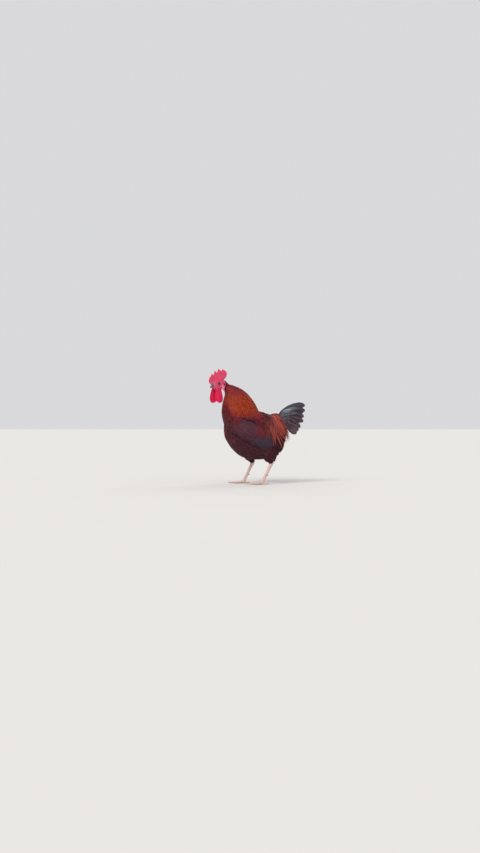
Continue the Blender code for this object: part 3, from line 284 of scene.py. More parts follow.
# Outlines of vanes: rows of (share of the length, share of the half width)
OUTLINES = {
    "round": (
        (0.0, 0.0), (0.12, 0.45), (0.35, 0.85), (0.60, 1.0), (0.80, 0.90), (0.91, 0.66),
        (0.97, 0.38), (1.0, 0.0),
    ),
    "soft": (
        (0.0, 0.0), (0.12, 0.45), (0.35, 0.85), (0.58, 1.0), (0.76, 0.88), (0.90, 0.58),
        (0.97, 0.30), (1.0, 0.0),
    ),
    "pointed": ((0.0, 0.0), (0.12, 0.50), (0.30, 0.85), (0.50, 1.0), (0.72, 0.82), (0.90, 0.38), (1.0, 0.0)),
    "strand": ((0.0, 0.0), (0.10, 0.55), (0.30, 0.95), (0.55, 1.0), (0.80, 0.66), (0.93, 0.28), (1.0, 0.0)),
    "flight": (
        (0.0, 0.0), (0.08, 0.50), (0.25, 0.85), (0.60, 1.0), (0.82, 0.97), (0.89, 0.86), (0.94, 0.68),
        (0.97, 0.49), (0.99, 0.28), (1.0, 0.0),
    ),
}
# Vanes: how much closer their rows stand at the tip, how far the shaft stands out, their patch on the
# unwrap, how far the barbs slant, and how deep the quill sits in the skin
TIP_CROWDING = 1.5
SHAFT_RISE = 0.0001
PATCH = 0.003
BARB_SLANT = 1.2
QUILL_DEPTH = 0.0008
# Feathers over other pieces: their clearance, the most lift, its step per row, and the rows that stay low
CLEARANCE = 0.0006
LIFT_REACH = 0.030
LIFT_STEP = 0.0008
ROWS_IN_SKIN = 2
# Painted highlights, as pale spots on breast and back: (y, z, size)
PAINTED_HIGHLIGHT_SPOTS = ((-0.061, 0.231, 0.010), (-0.102, 0.193, 0.007), (0.033, 0.264, 0.006))
# Nearly black places: painted shade in the nostrils and round the eyeball's edge under the lids, and the
# pupil
NOSTRIL_SHADE = (0.02, 0.012, 0.01)
PUPIL = (0.002, 0.001, 0.001)
EYE_EDGE_SHADE = (0.02, 0.004, 0.004)

# Camera: its place, and its focal length over the height of the picture
CAMERA_PLACE = (3.03, -0.069, 0.235)
SENSOR = 36.0
FOCAL_PIXELS = 739
PICTURE_PIXELS = 853
FLOOR_HALF = 60.0


def linear(red, green, blue):
    """The colour as light, from screen values of 0 to 255."""
    return tuple(
        c / 12.92 if c <= 0.04045 else ((c + 0.055) / 1.055) ** 2.4
        for c in (red / 255, green / 255, blue / 255)
    )


class RoosterSizes(bpy.types.PropertyGroup):
    coat_depth: bpy.props.FloatProperty(
        name="Coat depth", description="How far the skin lies inside the body's outline",
        default=0.0055, min=0.002, max=0.010, unit="LENGTH",
    )
    hackle_depth: bpy.props.FloatProperty(
        name="Hackle depth", description="How far the skin lies inside the neck's outline",
        default=0.0085, min=0.003, max=0.015, unit="LENGTH",
    )
    body_feather: bpy.props.FloatProperty(
        name="Body feather", description="Length of a breast feather",
        default=0.026, min=0.010, max=0.045, unit="LENGTH",
    )
    body_spacing: bpy.props.FloatProperty(
        name="Body spacing", description="Distance between the roots of breast feathers",
        default=0.0046, min=0.003, max=0.02, unit="LENGTH",
    )
    hackle_feather: bpy.props.FloatProperty(
        name="Hackle feather", description="Length of the longest hackle feather",
        default=0.072, min=0.03, max=0.10, unit="LENGTH",
    )
    saddle_feather: bpy.props.FloatProperty(
        name="Saddle feather", description="Length of the longest saddle feather",
        default=0.110, min=0.05, max=0.16, unit="LENGTH",
    )
    tail_feather: bpy.props.FloatProperty(
        name="Tail feather", description="Length of the longest tail feather",
        default=0.128, min=0.06, max=0.16, unit="LENGTH",
    )


def colour_property(name, description, shade):
    return bpy.props.FloatVectorProperty(
        name=name, description=description, default=shade, size=3, min=0.0, max=1.0, subtype="COLOR"
    )


class RoosterColours(bpy.types.PropertyGroup):
    breast: colour_property("Breast", "Dark purple-brown of the breast and belly", linear(62, 34, 43))
    hackle: colour_property("Hackle", "Orange-brown of the neck", linear(160, 57, 30))
    crimson: colour_property("Crimson", "Dark red of the wing bow and the cape's edge", linear(126, 36, 46))
    saddle: colour_property("Saddle", "Red-brown of the saddle strands", linear(176, 82, 74))
    steel: colour_property("Steel", "Purple-grey of the wing bar", linear(60, 48, 62))
    tail: colour_property("Tail", "Blue-black of the tail", linear(54, 52, 64))
    sheen: colour_property("Sheen", "Pale blue-grey of light on the tail", linear(156, 176, 184))
    comb: colour_property("Comb", "Pink-red of the comb", linear(230, 72, 108))
    wattle: colour_property("Wattle", "Deeper red of the wattles", linear(232, 30, 86))
    lobe: colour_property("Earlobe", "Pale pink of the earlobes", linear(244, 124, 156))
    face: colour_property("Face", "Duller pink round the eye", linear(214, 86, 122))
    beak: colour_property("Beak", "Grey-brown horn of the beak", linear(120, 88, 84))
    claw: colour_property("Claw", "Pale horn of claws and spurs", linear(176, 156, 146))
    leg: colour_property("Leg", "Pinkish white of the leg scales", linear(240, 208, 198))
    groove: colour_property("Groove", "Grey between the leg scales", linear(166, 130, 120))
    stain: colour_property("Stain", "Straw-coloured patches on the legs", (0.72, 0.52, 0.36))
    iris: colour_property("Iris", "Red-brown of the iris", linear(150, 58, 26))
    floor: colour_property("Floor", "Pale floor", linear(226, 224, 220))


def sizes():
    return bpy.context.scene.rooster_sizes


def colours():
    return bpy.context.scene.rooster_colours


# Curves and surfaces
def rows_at(rows, shares):
    """The rows at these shares of the way along, on a smooth curve through all of them."""
    rows = np.asarray(rows, float)
    last = len(rows) - 1
    place = np.clip(np.asarray(shares, float), 0.0, 1.0) * last
    first = np.minimum(place.astype(int), last - 1)
    t = (place - first)[..., None]
    a, b = rows[np.maximum(first - 1, 0)], rows[first]
    c, d = rows[first + 1], rows[np.minimum(first + 2, last)]
    return 0.5 * (2 * b + (c - a) * t + (2 * a - 5 * b + 4 * c - d) * t**2 + (3 * b - a - 3 * c + d) * t**3)


def eased(x, low, high):
    """A smooth step from 0 at low to 1 at high."""
    t = np.clip((x - low) / (high - low), 0.0, 1.0)
    return t * t * (3 - 2 * t)


def on_line(line, x):
    """The second number of a line of (x, value) pairs at x."""
    xs, values = zip(*line)
    return np.interp(x, xs, values)


def unit(vectors):
    return vectors / np.maximum(np.linalg.norm(vectors, axis=-1, keepdims=True), 1e-12)


def turns(sides):
    """The angles of a ring's points."""
    return np.linspace(0, math.tau, sides, endpoint=False)


def rounded(angle, power=2.0):
    """(across, up) on a ring: angle 0 is its top and a quarter turn its left side."""
    across, up = np.sin(angle), np.cos(angle)
    return (
        np.sign(across) * np.abs(across) ** (2 / power),
        np.sign(up) * np.abs(up) ** (2 / power),
    )


def torso_point(share, angle, grow=0.0):
    share, angle = np.broadcast_arrays(share, angle)
    along, top, bottom, width = np.moveaxis(rows_at(TORSO_SHAPE, share), -1, 0)
    across, up = rounded(angle, TORSO_SQUARENESS)
    half_width = TORSO_WIDTH * width / 2 + grow
    half_depth = TORSO_DEPTH * (top - bottom) / 2 + grow
    return np.stack([
        half_width * across * (1 + BACK_FULLNESS * up),
        BREAST_Y + TORSO_LENGTH * along + grow * (2 * share - 1),
        BELLY_Z + TORSO_DEPTH * (top + bottom) / 2 + half_depth * up,
    ], -1)


def neck_point(share, angle, grow=0.0):
    front_y, front_z, back_y, back_z, half_width = np.moveaxis(rows_at(NECK_SHAPE, share), -1, 0)
    half_y, half_z = (back_y - front_y) / 2, (back_z - front_z) / 2
    stretch = 1 + grow / np.hypot(half_y, half_z)
    across, up = rounded(angle)
    return np.stack([
        (half_width + grow) * across,
        (front_y + back_y) / 2 + half_y * up * stretch,
        (front_z + back_z) / 2 + half_z * up * stretch,
    ], -1)


def on_flank(side, y, z, rise):
    """Points on the torso's side at these y and z, raised, and which way it faces there."""
    table = np.linspace(0.0, 1.0, 200)
    share = np.interp(y, BREAST_Y + TORSO_LENGTH * rows_at(TORSO_SHAPE, table)[:, 0], table)
    _, top, bottom, _ = np.moveaxis(rows_at(TORSO_SHAPE, share), -1, 0)
    up = (z - BELLY_Z - TORSO_DEPTH * (top + bottom) / 2) / (TORSO_DEPTH * (top - bottom) / 2)
    up = np.clip(up, -0.97, 0.97)
    angle = side * np.arccos(np.sign(up) * np.abs(up) ** (TORSO_SQUARENESS / 2))
    step = 0.01
    run = torso_point(share + step, angle) - torso_point(share - step, angle)
    around = torso_point(share, angle + step) - torso_point(share, angle - step)
    out = unit(np.cross(around, run))
    return torso_point(share, angle) + out * np.asarray(rise)[..., None], out


def limb_rings(rows, count, sides, grow=0.0):
    """Rings down the left leg, from rows of (y, z, half depth, half width)."""
    y, z, half_depth, half_width = rows_at(rows, np.linspace(0.0, 1.0, count)).T
    run = unit(np.stack([np.gradient(y), np.gradient(z)], -1))
    depth = (half_depth + grow)[:, None] * np.cos(turns(sides))
    return np.stack([
        LEG_X + (half_width + grow)[:, None] * np.sin(turns(sides)),
        y[:, None] + run[:, 1:] * depth,
        z[:, None] - run[:, :1] * depth,
    ], -1)


def head_rings(rows, count, sides, grow=0.0):
    """Rings along a form in the head's frame, from rows of (forward, half width, top, bottom)."""
    forward, half_width, top, bottom = rows_at(rows, np.linspace(0.0, 1.0, count)).T
    return np.stack([
        (half_width + grow)[:, None] * np.sin(turns(sides)),
        np.repeat(-forward[:, None], sides, 1),
        ((top + bottom) / 2)[:, None] + ((top - bottom) / 2 + grow)[:, None] * np.cos(turns(sides)),
    ], -1)


def grid_rings(point_at, count, sides, grow):
    """Rings along a form that point_at(share, angle, grow) gives."""
    shares = np.linspace(0.0, 1.0, count)[:, None]
    return point_at(*np.broadcast_arrays(shares, turns(sides)[None, :]), grow)


def ball_rings(place, half_sizes, count=14, sides=20):
    up = np.linspace(0.0, math.pi, count + 2)[1:-1, None]
    turn = turns(sides)[None, :]
    ways = (np.sin(up) * np.cos(turn), np.sin(up) * np.sin(turn), np.cos(up))
    return np.asarray(place) + np.stack(np.broadcast_arrays(*ways), -1) * np.asarray(half_sizes)


def tube_rings(centres, radii, sides):
    """Rings round a curved line that doesn't run straight up."""
    run = unit(np.gradient(centres, axis=0))
    side = unit(np.cross(run, np.array((0.0, 0.0, 1.0))))
    up = np.cross(side, run)
    across, over = np.sin(turns(sides))[None, :, None], np.cos(turns(sides))[None, :, None]
    return centres[:, None] + radii[:, None, None] * (side[:, None] * across + up[:, None] * over)


def moved(points, matrix):
    """The points under a 4 by 4 matrix."""
    numbers = np.array(matrix)
    return points @ numbers[:3, :3].T + numbers[:3, 3]


def on_leg(points, side):
    """The left leg's points, or the right leg's, which is mirrored and stands further forward."""
    if side == 1:
        return points
    return points * (-1, 1, 1) + (0, RIGHT_LEG_SHIFT, 0)


def toe_ahead(turn):
    """The way that a toe of the left foot points, at this turn in degrees off straight ahead."""
    return np.array((math.sin(math.radians(turn)), -math.cos(math.radians(turn)), 0.0))


def toe_line(turn, length, radius):
    """Centres, radii and upper side of a toe on the left foot, from the foot's middle outwards."""
    shares = np.linspace(0, 1, 60)
    centres = np.array((LEG_X, FOOT_Y, 0.0)) + toe_ahead(turn) * (length * shares)[:, None]
    centres[:, 2] = TOE_CENTRE_Z + (TOE_ROOT_Z - TOE_CENTRE_Z) * (1 - shares) ** 4
    pads = 1 + 0.10 * np.cos(math.tau * shares * 2.5)
    closing = np.sqrt(1 - 0.75 * np.clip((shares - 0.92) / 0.08, 0, 1) ** 2)
    return centres, radius * (1 - 0.28 * shares) * pads * closing, np.array((0.0, 0.0, 1.0))


# Meshes
def new_mesh(name, points, faces, fields=None, maps=None):
    """A mesh from points, arrays of faces, fields of a value or a vector per point, and UV maps."""
    mesh = bpy.data.meshes.new(name)
    mesh.vertices.add(len(points))
    mesh.vertices.foreach_set("co", np.asarray(points, np.float32).ravel())
    corners = np.concatenate([np.asarray(group, np.int32).ravel() for group in faces])
    counts = np.concatenate([np.full(len(group), np.shape(group)[1]) for group in faces])
    mesh.loops.add(len(corners))
    mesh.loops.foreach_set("vertex_index", corners)
    mesh.polygons.add(len(counts))
    mesh.polygons.foreach_set("loop_start", np.concatenate([[0], np.cumsum(counts)[:-1]]).astype(np.int32))
    mesh.update(calc_edges=True)
    for field, values in (fields or {}).items():
        set_field(mesh, field, values)
    for layer, values in (maps or {}).items():
        mesh.uv_layers.new(name=layer, do_init=False)
        mesh.uv_layers[layer].data.foreach_set("uv", np.asarray(values, np.float32)[corners].ravel())
    mesh.shade_smooth()
    return mesh


def set_field(mesh, name, values):
    values = np.asarray(values, np.float32)
    wide = values.ndim > 1
    field = mesh.attributes.new(name, "FLOAT_VECTOR" if wide else "FLOAT", "POINT")
    field.data.foreach_set("vector" if wide else "value", values.ravel())


def linked(name, data):
    """A new object in the scene."""
    made = bpy.data.objects.new(name, data)
    bpy.context.scene.collection.objects.link(made)
    return made


def shell_of(rings):
    """Points, quads and triangles of a closed form through rings of as many points each."""
    count, sides = rings.shape[:2]
    points = np.concatenate([rings.reshape(-1, 3), rings[[0, -1]].mean(1)])
    at = np.arange(count * sides).reshape(count, sides)
    after = np.roll(at, -1, 1)
    quads = np.stack([at[:-1], after[:-1], after[1:], at[1:]], -1).reshape(-1, 4)
    hubs = [(at[0], after[0], count * sides), (after[-1], at[-1], count * sides + 1)]
    fans = [np.stack([far, near, np.full(sides, hub)], -1) for near, far, hub in hubs]
    return points, quads, np.concatenate(fans)


def joined(shells):
    """Points and faces of closed forms, each given as its rings, taken together."""
    points, quads, fans, start = [], [], [], 0
    for rings in shells:
        made, four, three = shell_of(rings)
        points.append(made)
        quads.append(four + start)
        fans.append(three + start)
        start += len(made)
    return np.concatenate(points), [np.concatenate(quads), np.concatenate(fans)]


def fused(name, shells, voxel, passes):
    """One skin round all the shells, as a new mesh of small even faces."""
    raw = linked(name, new_mesh(name, *joined(shells)))
    remesh = raw.modifiers.new("fuse", "REMESH")
    remesh.mode = "VOXEL"
    remesh.voxel_size = voxel
    smooth = raw.modifiers.new("soften", "SMOOTH")
    smooth.factor = 0.5
    smooth.iterations = passes
    graph = bpy.context.evaluated_depsgraph_get()
    made = bpy.data.meshes.new_from_object(raw.evaluated_get(graph))
    bpy.data.objects.remove(raw, do_unlink=True)
    made.shade_smooth()
    return made


def vectors_of(items, name):
    found = np.empty(len(items) * 3, np.float32)
    items.foreach_get(name, found)
    return found.reshape(-1, 3).astype(float)


def points_of(mesh):
    return vectors_of(mesh.vertices, "co")


def normals_of(mesh):
    return vectors_of(mesh.vertex_normals, "vector")


def set_points(mesh, points):
    mesh.vertices.foreach_set("co", np.asarray(points, np.float32).ravel())
    mesh.update()


def add_piece(name, mesh, material, slot, *nodes):
    """Puts a piece in the scene, riding on the bird, in place of these solids."""
    piece = linked(name, mesh)
    mesh.materials.clear()
    mesh.materials.append(material)
    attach(piece, "root")
    if nodes:
        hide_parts(*nodes)
    return piece


class Surface:
    """Skins or coats that feathers are laid on, taken as one."""

    def __init__(self, *pieces):
        graph = bpy.context.evaluated_depsgraph_get()
        self.points = np.concatenate([points_of(piece.data) for piece in pieces])
        self.outs = np.concatenate([normals_of(piece.data) for piece in pieces])
        self.trees = [BVHTree.FromObject(piece, graph) for piece in pieces]
        self.near = KDTree(len(self.points))
        for i, point in enumerate(self.points):
            self.near.insert(point, i)
        self.near.balance()

    def nearest(self, points):
        """The nearest places on it, and which way it faces there."""
        found = []
        for point in points:
            hits = [tree.find_nearest(point) for tree in self.trees]
            found.append(min(hits, key=lambda hit: hit[3])[0])
        index = [self.near.find(point)[1] for point in found]
        return np.array(found), self.outs[index]


def scattered(skin, spacing, wanted, rng):
    """Places on a skin about this far apart, where wanted(points, outs) holds."""
    tries = rng.permutation(np.flatnonzero(wanted(skin.points, skin.outs)))
    tree = KDTree(len(tries))
    for i in tries:
        tree.insert(skin.points[i], int(i))
    tree.balance()
    free = np.zeros(len(skin.points), bool)
    free[tries] = True
    spaces = spacing(skin.points) if callable(spacing) else np.full(len(skin.points), spacing)
    kept = []
    for i in tries:
        if free[i]:
            kept.append(i)
            for _, j, _ in tree.find_range(skin.points[i], spaces[i]):
                free[j] = False
    kept = np.array(kept)
    return skin.points[kept], skin.outs[kept]


def laid(skin, roots, outs, heading, lengths, rows, yaw, cling=1.0):
    """Paths over a skin from each root, along heading(points), as (points, outs) per row.

    With a cling below 1 they keep to the skin only in part, and hang free past its edge.
    """
    points, faces = [roots], [outs]
    steps = (lengths / (rows - 1))[:, None]
    here, out = roots, outs
    for _ in range(rows - 1):
        way = unit(heading(here))
        flat = unit(way - out * (way * out).sum(-1, keepdims=True))
        way = unit(way * (1 - cling) + flat * cling)
        way = way * np.cos(yaw)[:, None] + np.cross(out, way) * np.sin(yaw)[:, None]
        ahead = here + way * steps
        here, out = skin.nearest(ahead)
        if cling < 1:
            here = ahead - out * np.minimum(((ahead - here) * out).sum(-1, keepdims=True), 0)
        points.append(here)
        faces.append(out)
    return np.stack(points, 1), unit(np.stack(faces, 1))


def at_shares(values, shares):
    """Values per row of each feather, at these shares of its length instead."""
    last = values.shape[1] - 1
    place = np.broadcast_to(shares * last, (len(values), np.shape(shares)[-1]))
    first = np.minimum(place.astype(int), last - 1)
    t = (place - first).reshape(*place.shape, *[1] * (values.ndim - 2))
    which = np.arange(len(values))[:, None]
    return values[which, first] * (1 - t) + values[which, first + 1] * t


def cut_short(points, outs, inside, least):
    """Shortens paths to where inside(points) ends, and drops those left with less than this share."""
    count, rows = points.shape[:2]
    held = inside(points.reshape(-1, 3)).reshape(count, rows)
    ends = np.where(held.all(1), 1.0, np.argmin(held, 1) / (rows - 1))
    kept = ends >= least
    shares = np.linspace(0, 1, rows) * ends[kept, None]
    return at_shares(points[kept], shares), unit(at_shares(outs[kept], shares)), kept, ends[kept]


def settled(path, outs, heights, names, clearance):
    """The heights, raised over the outermost of the pieces that the feathers lie on."""
    graph = bpy.context.evaluated_depsgraph_get()
    over = np.full(heights.size, -1.0)
    for name in names:
        tree = BVHTree.FromObject(bpy.data.objects[name], graph)
        for i, (point, out) in enumerate(zip(path.reshape(-1, 3), outs.reshape(-1, 3))):
            hit = tree.ray_cast(Vector(point + out * LIFT_REACH), Vector(-out), LIFT_REACH)[0]
            if hit is not None:
                over[i] = max(over[i], (np.array(hit) - point) @ out)
    over = np.where(over > 0, over + clearance, -1.0).reshape(heights.shape)
    over[:, :ROWS_IN_SKIN] = -1.0
    soft = over.copy()
    soft[:, 1:] = np.maximum(soft[:, 1:], over[:, :-1] - LIFT_STEP)
    soft[:, :-1] = np.maximum(soft[:, :-1], over[:, 1:] - LIFT_STEP)
    return np.maximum(heights, soft)


class Vanes:
    """Feathers that are gathered into one piece."""

    def __init__(self, columns=5, thickness=0.0004):
        self.columns = columns
        self.thickness = thickness
        self.points, self.quads, self.fans = [], [], []
        self.fields = {"vane": [], "marks": [], "OFBake": [], "Barbs": []}
        self.count = 0

    def per_point(self, values):
        """Values per row of each feather, repeated round its rings, and then those of its two ends."""
        return np.concatenate([np.repeat(values[:, 1:-1], self.columns + 1, 1), values[:, [0, -1]]], 1)

    def add_faces(self, count, rows):
        """Faces of this many vanes, which have rings of points and one point at each end."""
        around = self.columns + 1
        inner = (rows - 2) * around
        last = inner - around
        ring = np.arange(around)
        after = (ring + 1) % around
        at = (np.arange(rows - 3) * around)[:, None]
        quads = np.stack([at + ring, at + after, at + after + around, at + ring + around], -1).reshape(-1, 4)
        root = np.stack([after, ring, np.full(around, inner)], -1)
        tip = np.stack([last + ring, last + after, np.full(around, inner + 1)], -1)
        starts = self.count + (np.arange(count) * (inner + 2))[:, None, None]
        self.quads.append((quads + starts).reshape(-1, 4))
        self.fans.append((np.concatenate([root, tip]) + starts).reshape(-1, 3))
        self.count += count * (inner + 2)

    def add(
        self, path, outs, outline, half_widths, heights, tilts, marks, places, rng, camber=0.08, droop=0.0005,
    ):
        """Adds a feather for each path. Heights are over the path's points, and places are on the unwrap."""
        count, rows = path.shape[:2]
        shares = 1 - (1 - np.linspace(0, 1, rows)) ** TIP_CROWDING
        path, heights = at_shares(path, shares), at_shares(heights, shares)
        outs = unit(at_shares(outs, shares))
        # Each row's own axes, leaned over to one side
        run = unit(np.gradient(path, axis=1))
        side = unit(np.cross(run, outs))
        up = np.cross(side, run)
        lean = np.broadcast_to(np.asarray(tilts, float), (count,))[:, None, None]
        over = side * np.cos(lean) + up * np.sin(lean)
        face = up * np.cos(lean) - side * np.sin(lean)
        # The cambered upper face with its raised shaft, one point below it, and the two ends
        half = np.asarray(half_widths)[:, None] * on_line(OUTLINES[outline], shares)[None, :]
        half = half * (1 + 0.04 * rng.uniform(-1, 1, half.shape))
        spine = path + up * (heights - droop * shares**6)[..., None]
        across = np.linspace(-1, 1, self.columns)
        out_by = half[..., None] * across
        drop = out_by * across * camber - SHAFT_RISE * (across == 0)
        top = spine[:, :, None] + over[:, :, None] * out_by[..., None] - face[:, :, None] * drop[..., None]
        below = (spine - face * self.thickness)[:, :, None]
        rings = np.concatenate([top, below], 2)[:, 1:-1]
        ends = spine[:, [0, -1]] - face[:, [0, -1]] * self.thickness / 2
        self.points.append(np.concatenate([rings.reshape(count, -1, 3), ends], 1).reshape(-1, 3))
        self.add_faces(count, rows)
        # Where each point is on its feather, what colour it has, and its places on the two maps
        edge = np.append(np.tile(np.append(across, 0.0), rows - 2), [0.0, 0.0])
        quill = self.per_point(shares[None])[0]
        long = np.linalg.norm(np.diff(path, axis=1), axis=-1).sum(1)
        each = np.ones((count, len(edge)))
        marks = np.asarray(marks, float)
        if marks.ndim == 2:
            marks = np.repeat(marks[:, None], rows, 1)
        patch = np.stack([edge * each, (2 * quill - 1) * each], -1) * PATCH / 2
        made = {
            "vane": np.stack([edge * each, quill * each, rng.uniform(0, 1, count)[:, None] * each], -1),
            "marks": self.per_point(at_shares(marks, shares)),
            "OFBake": np.asarray(places)[:, None] + patch,
            "Barbs": np.stack([edge * self.per_point(half), quill * long[:, None]], -1),
        }
        for name, values in made.items():
            self.fields[name].append(values.reshape(-1, values.shape[-1]))

    def piece(self, name, finish, slot, *nodes):
        """Puts all the feathers in the scene as one piece. Their marks are warm, crimson, steel, and a
        darkening that holds painted shade and painted light as well as tone.
        """
        found = {field: np.concatenate(parts) for field, parts in self.fields.items()}
        fields = {"vane": found["vane"], "marks": found["marks"][:, :3], "shade_and_tone": found["marks"][:, 3]}
        maps = {layer: found[layer] for layer in ("OFBake", "Barbs")}
        faces = [np.concatenate(self.quads), np.concatenate(self.fans)]
        mesh = new_mesh(name, np.concatenate(self.points), faces, fields, maps)
        add_piece(name, mesh, finish, slot, *nodes)


def rising(tips, rows, depth=QUILL_DEPTH, power=0.42):
    """Heights along each feather, from inside the skin at its root to its own height at its tip."""
    return (tips[:, None] + depth) * np.linspace(0, 1, rows) ** power - depth


def unwrapped(points):
    """Places on an unwrap of the body's own shape: round its length and along it."""
    x, y, z = points.T
    on_neck = eased(z - 0.5 * y, 0.255, 0.300)
    along = (1 - on_neck) * (y + 0.145) / 0.30 + on_neck * (0.42 - z) / 0.20
    middle_y = on_line(NECK_AXIS, z)
    body_turn = np.arctan2(x, z - 0.190)
    neck_turn = np.arctan2(x, y - middle_y)
    turn = np.where(on_neck > 0.5, neck_turn, body_turn) / math.tau + 0.5
    across = np.where(on_neck > 0.5, 0.52 + 0.46 * turn, 0.02 + 0.46 * turn)
    return np.stack([across, 0.03 + 0.94 * np.clip(along, 0, 1)], -1)


# Markings, alike on the skin and on the coat
def cape_height(points):
    """How far each place is above the cape's lower edge."""
    return points[:, 2] - on_line(CAPE_EDGE, points[:, 1])


def neck_front(points):
    """From -1 at the throat to 1 at the nape."""
    middle = on_line(NECK_AXIS, points[:, 2])
    return (points[:, 1] - middle) / np.interp(points[:, 2], (0.25, 0.36, 0.41), (0.075, 0.048, 0.02))


def body_marks(points):
    """Warm, crimson, steel and darkening of the body at these places: painted shade along the cape's lower
    edge, a lighter shoulder and rump, and painted highlights at pale spots.
    """
    _, y, z = points.T
    height = cape_height(points)
    around = neck_front(points)
    neck = eased(height, -0.006, 0.006) * eased(z, 0.24, 0.27)
    warm = neck * eased(height, 0.004, 0.034) * eased(around, -0.95, -0.35)
    warm = warm * (1 - 0.90 * eased(z, 0.335, 0.388))
    warm = warm + 0.14 * eased(-y, 0.100, 0.135)
    bow = eased(y, -0.020, 0.010) * (1 - eased(y, 0.050, 0.075)) * eased(z, 0.178, 0.200)
    rump = eased(y, 0.010, 0.050) * eased(z, 0.225, 0.260)
    below = eased(height, -0.034, -0.006) * (1 - eased(y, -0.075, -0.040))
    crimson = np.clip(0.10 + 0.80 * neck + 0.45 * bow + 0.75 * rump + 0.55 * below, 0, 1)
    shoulder = eased(y, -0.105, -0.060) * (1 - eased(y, -0.020, 0.0)) * eased(z, 0.185, 0.215)
    steel = 0.35 * shoulder * (1 - neck) * (1 - below)
    # Painted shade along and under the cape's lower edge, where the hackle hangs over; the shoulder and rump
    # are made lighter
    edge = eased(height, -0.020, -0.006) * (1 - eased(height, 0.004, 0.016)) * (1 - eased(y, -0.03, 0.0))
    shade_and_tone = 0.60 * edge - 0.20 * shoulder * (1 - neck) * (1 - below) - 0.15 * rump
    # Painted highlights: pale spots on the breast and back
    for spot_y, spot_z, size in PAINTED_HIGHLIGHT_SPOTS:
        shade_and_tone = shade_and_tone - 0.9 * np.exp(-((y - spot_y) ** 2 + (z - spot_z) ** 2) / size**2)
    return np.stack([warm, crimson, steel, shade_and_tone], -1)


# Shader expressions
class Value:
    """A number that varies over a surface. Expressions on it add Math nodes."""

    def __init__(self, finish, socket):
        self.finish = finish
        self.socket = socket

    def maths(self, operation, *others):
        return self.finish.value("ShaderNodeMath", {"operation": operation}, dict(enumerate(others)))

    def __add__(self, other):
        return self.maths("ADD", self, other)

    def __radd__(self, other):
        return self.maths("ADD", other, self)

    def __sub__(self, other):
        return self.maths("SUBTRACT", self, other)

    def __rsub__(self, other):
        return self.maths("SUBTRACT", other, self)

    def __mul__(self, other):
        return self.maths("MULTIPLY", self, other)

    def __rmul__(self, other):
        return self.maths("MULTIPLY", other, self)

    def __abs__(self):
        return self.maths("ABSOLUTE", self)

    def wave(self):
        return self.maths("SINE", self)

    def most(self, other):
        return self.maths("MAXIMUM", self, other)

    def between(self, low, high):
        """A smooth step from 0 at low to 1 at high."""
        sockets = {"Value": self, "From Min": low, "From Max": high}
        return self.finish.value("ShaderNodeMapRange", {"interpolation_type": "SMOOTHSTEP"}, sockets)


class Finish:
    """A material, made of its shader's constants and of expressions."""

    def __init__(self, name, **constants):
        self.material = bpy.data.materials.new(name)
        self.material.use_nodes = True
        self.nodes = self.material.node_tree.nodes
        self.links = self.material.node_tree.links
        self.done(**constants)

    def done(self, **values):
        """Sets or links the shader's sockets, which are named here in lower case, and gives the material."""
        shader = self.nodes["Principled BSDF"]
        for socket in shader.inputs:
            word = socket.name.lower().replace(" ", "_")
            if word in values:
                self.feed(shader, {socket.name: values[word]})
        return self.material

    def feed(self, node, sockets):
        for name, value in sockets.items():
            socket = node.inputs[name]
            if isinstance(value, Value):
                self.links.new(value.socket, socket)
            elif isinstance(value, bpy.types.NodeSocket):
                self.links.new(value, socket)
            elif socket.type == "RGBA":
                socket.default_value = (*value, 1.0)
            else:
                socket.default_value = value

    def node(self, kind, settings=None, sockets=None):
        """A node of this type, with its settings and then the values or links of its sockets."""
        made = self.nodes.new(kind)
        for name, value in (settings or {}).items():
            setattr(made, name, value)
        self.feed(made, sockets or {})
        return made

    def value(self, kind, settings=None, sockets=None):
        return Value(self, self.node(kind, settings, sockets).outputs[0])

    def parts(self, vector):
        """The numbers x, y and z of a vector."""
        return [Value(self, part) for part in self.node("ShaderNodeSeparateXYZ", None, {0: vector}).outputs]

    def field(self, name):
        """The three numbers of a field of vectors."""
        return self.parts(self.node("ShaderNodeAttribute", {"attribute_name": name}).outputs["Vector"])

    def number(self, name):
        return Value(self, self.node("ShaderNodeAttribute", {"attribute_name": name}).outputs["Fac"])

    def mixed(self, first, second, share):
        """A colour that goes from the first to the second."""
        return self.node("ShaderNodeMix", {"data_type": "RGBA"}, {0: share, 6: first, 7: second}).outputs[2]

    def scaled(self, colour, share):
        """A colour made brighter or darker."""
        sockets = {0: colour, "Scale": share}
        return self.node("ShaderNodeVectorMath", {"operation": "SCALE"}, sockets).outputs[0]

    def place(self):
        return self.node("ShaderNodeTexCoord").outputs["Object"]

    def noise(self, scale, detail=2.0):
        sockets = {"Scale": scale, "Detail": detail, "Vector": self.place()}
        return self.value("ShaderNodeTexNoise", None, sockets)

    def cells(self, scale, feature="F1"):
        sockets = {"Scale": scale, "Vector": self.place()}
        return self.value("ShaderNodeTexVoronoi", {"feature": feature}, sockets)

    def barbs(self, pitch, chance):
        """Ridges this far apart that slant off the shaft, shifted by chance from feather to feather."""
        off, along, _ = self.parts(self.node("ShaderNodeUVMap", {"uv_map": "Barbs"}).outputs[0])
        return ((along - BARB_SLANT * abs(off)) * (math.tau / pitch) + 9.0 * chance).wave()

    def bumped(self, height, distance, under=None):
        """A Normal from this height, over another one."""
        sockets = {"Height": height, "Distance": distance, "Strength": 1.0}
        if under is not None:
            sockets["Normal"] = under
        return self.node("ShaderNodeBump", None, sockets).outputs[0]


def marked_colour(finish, red):
    """The plumage's own colour from the marks, with this red."""
    shades = colours()
    warm, crimson, steel = finish.field("marks")
    base = finish.mixed(shades.breast, red, crimson)
    base = finish.mixed(base, shades.hackle, warm)
    return finish.mixed(base, shades.steel, steel), steel


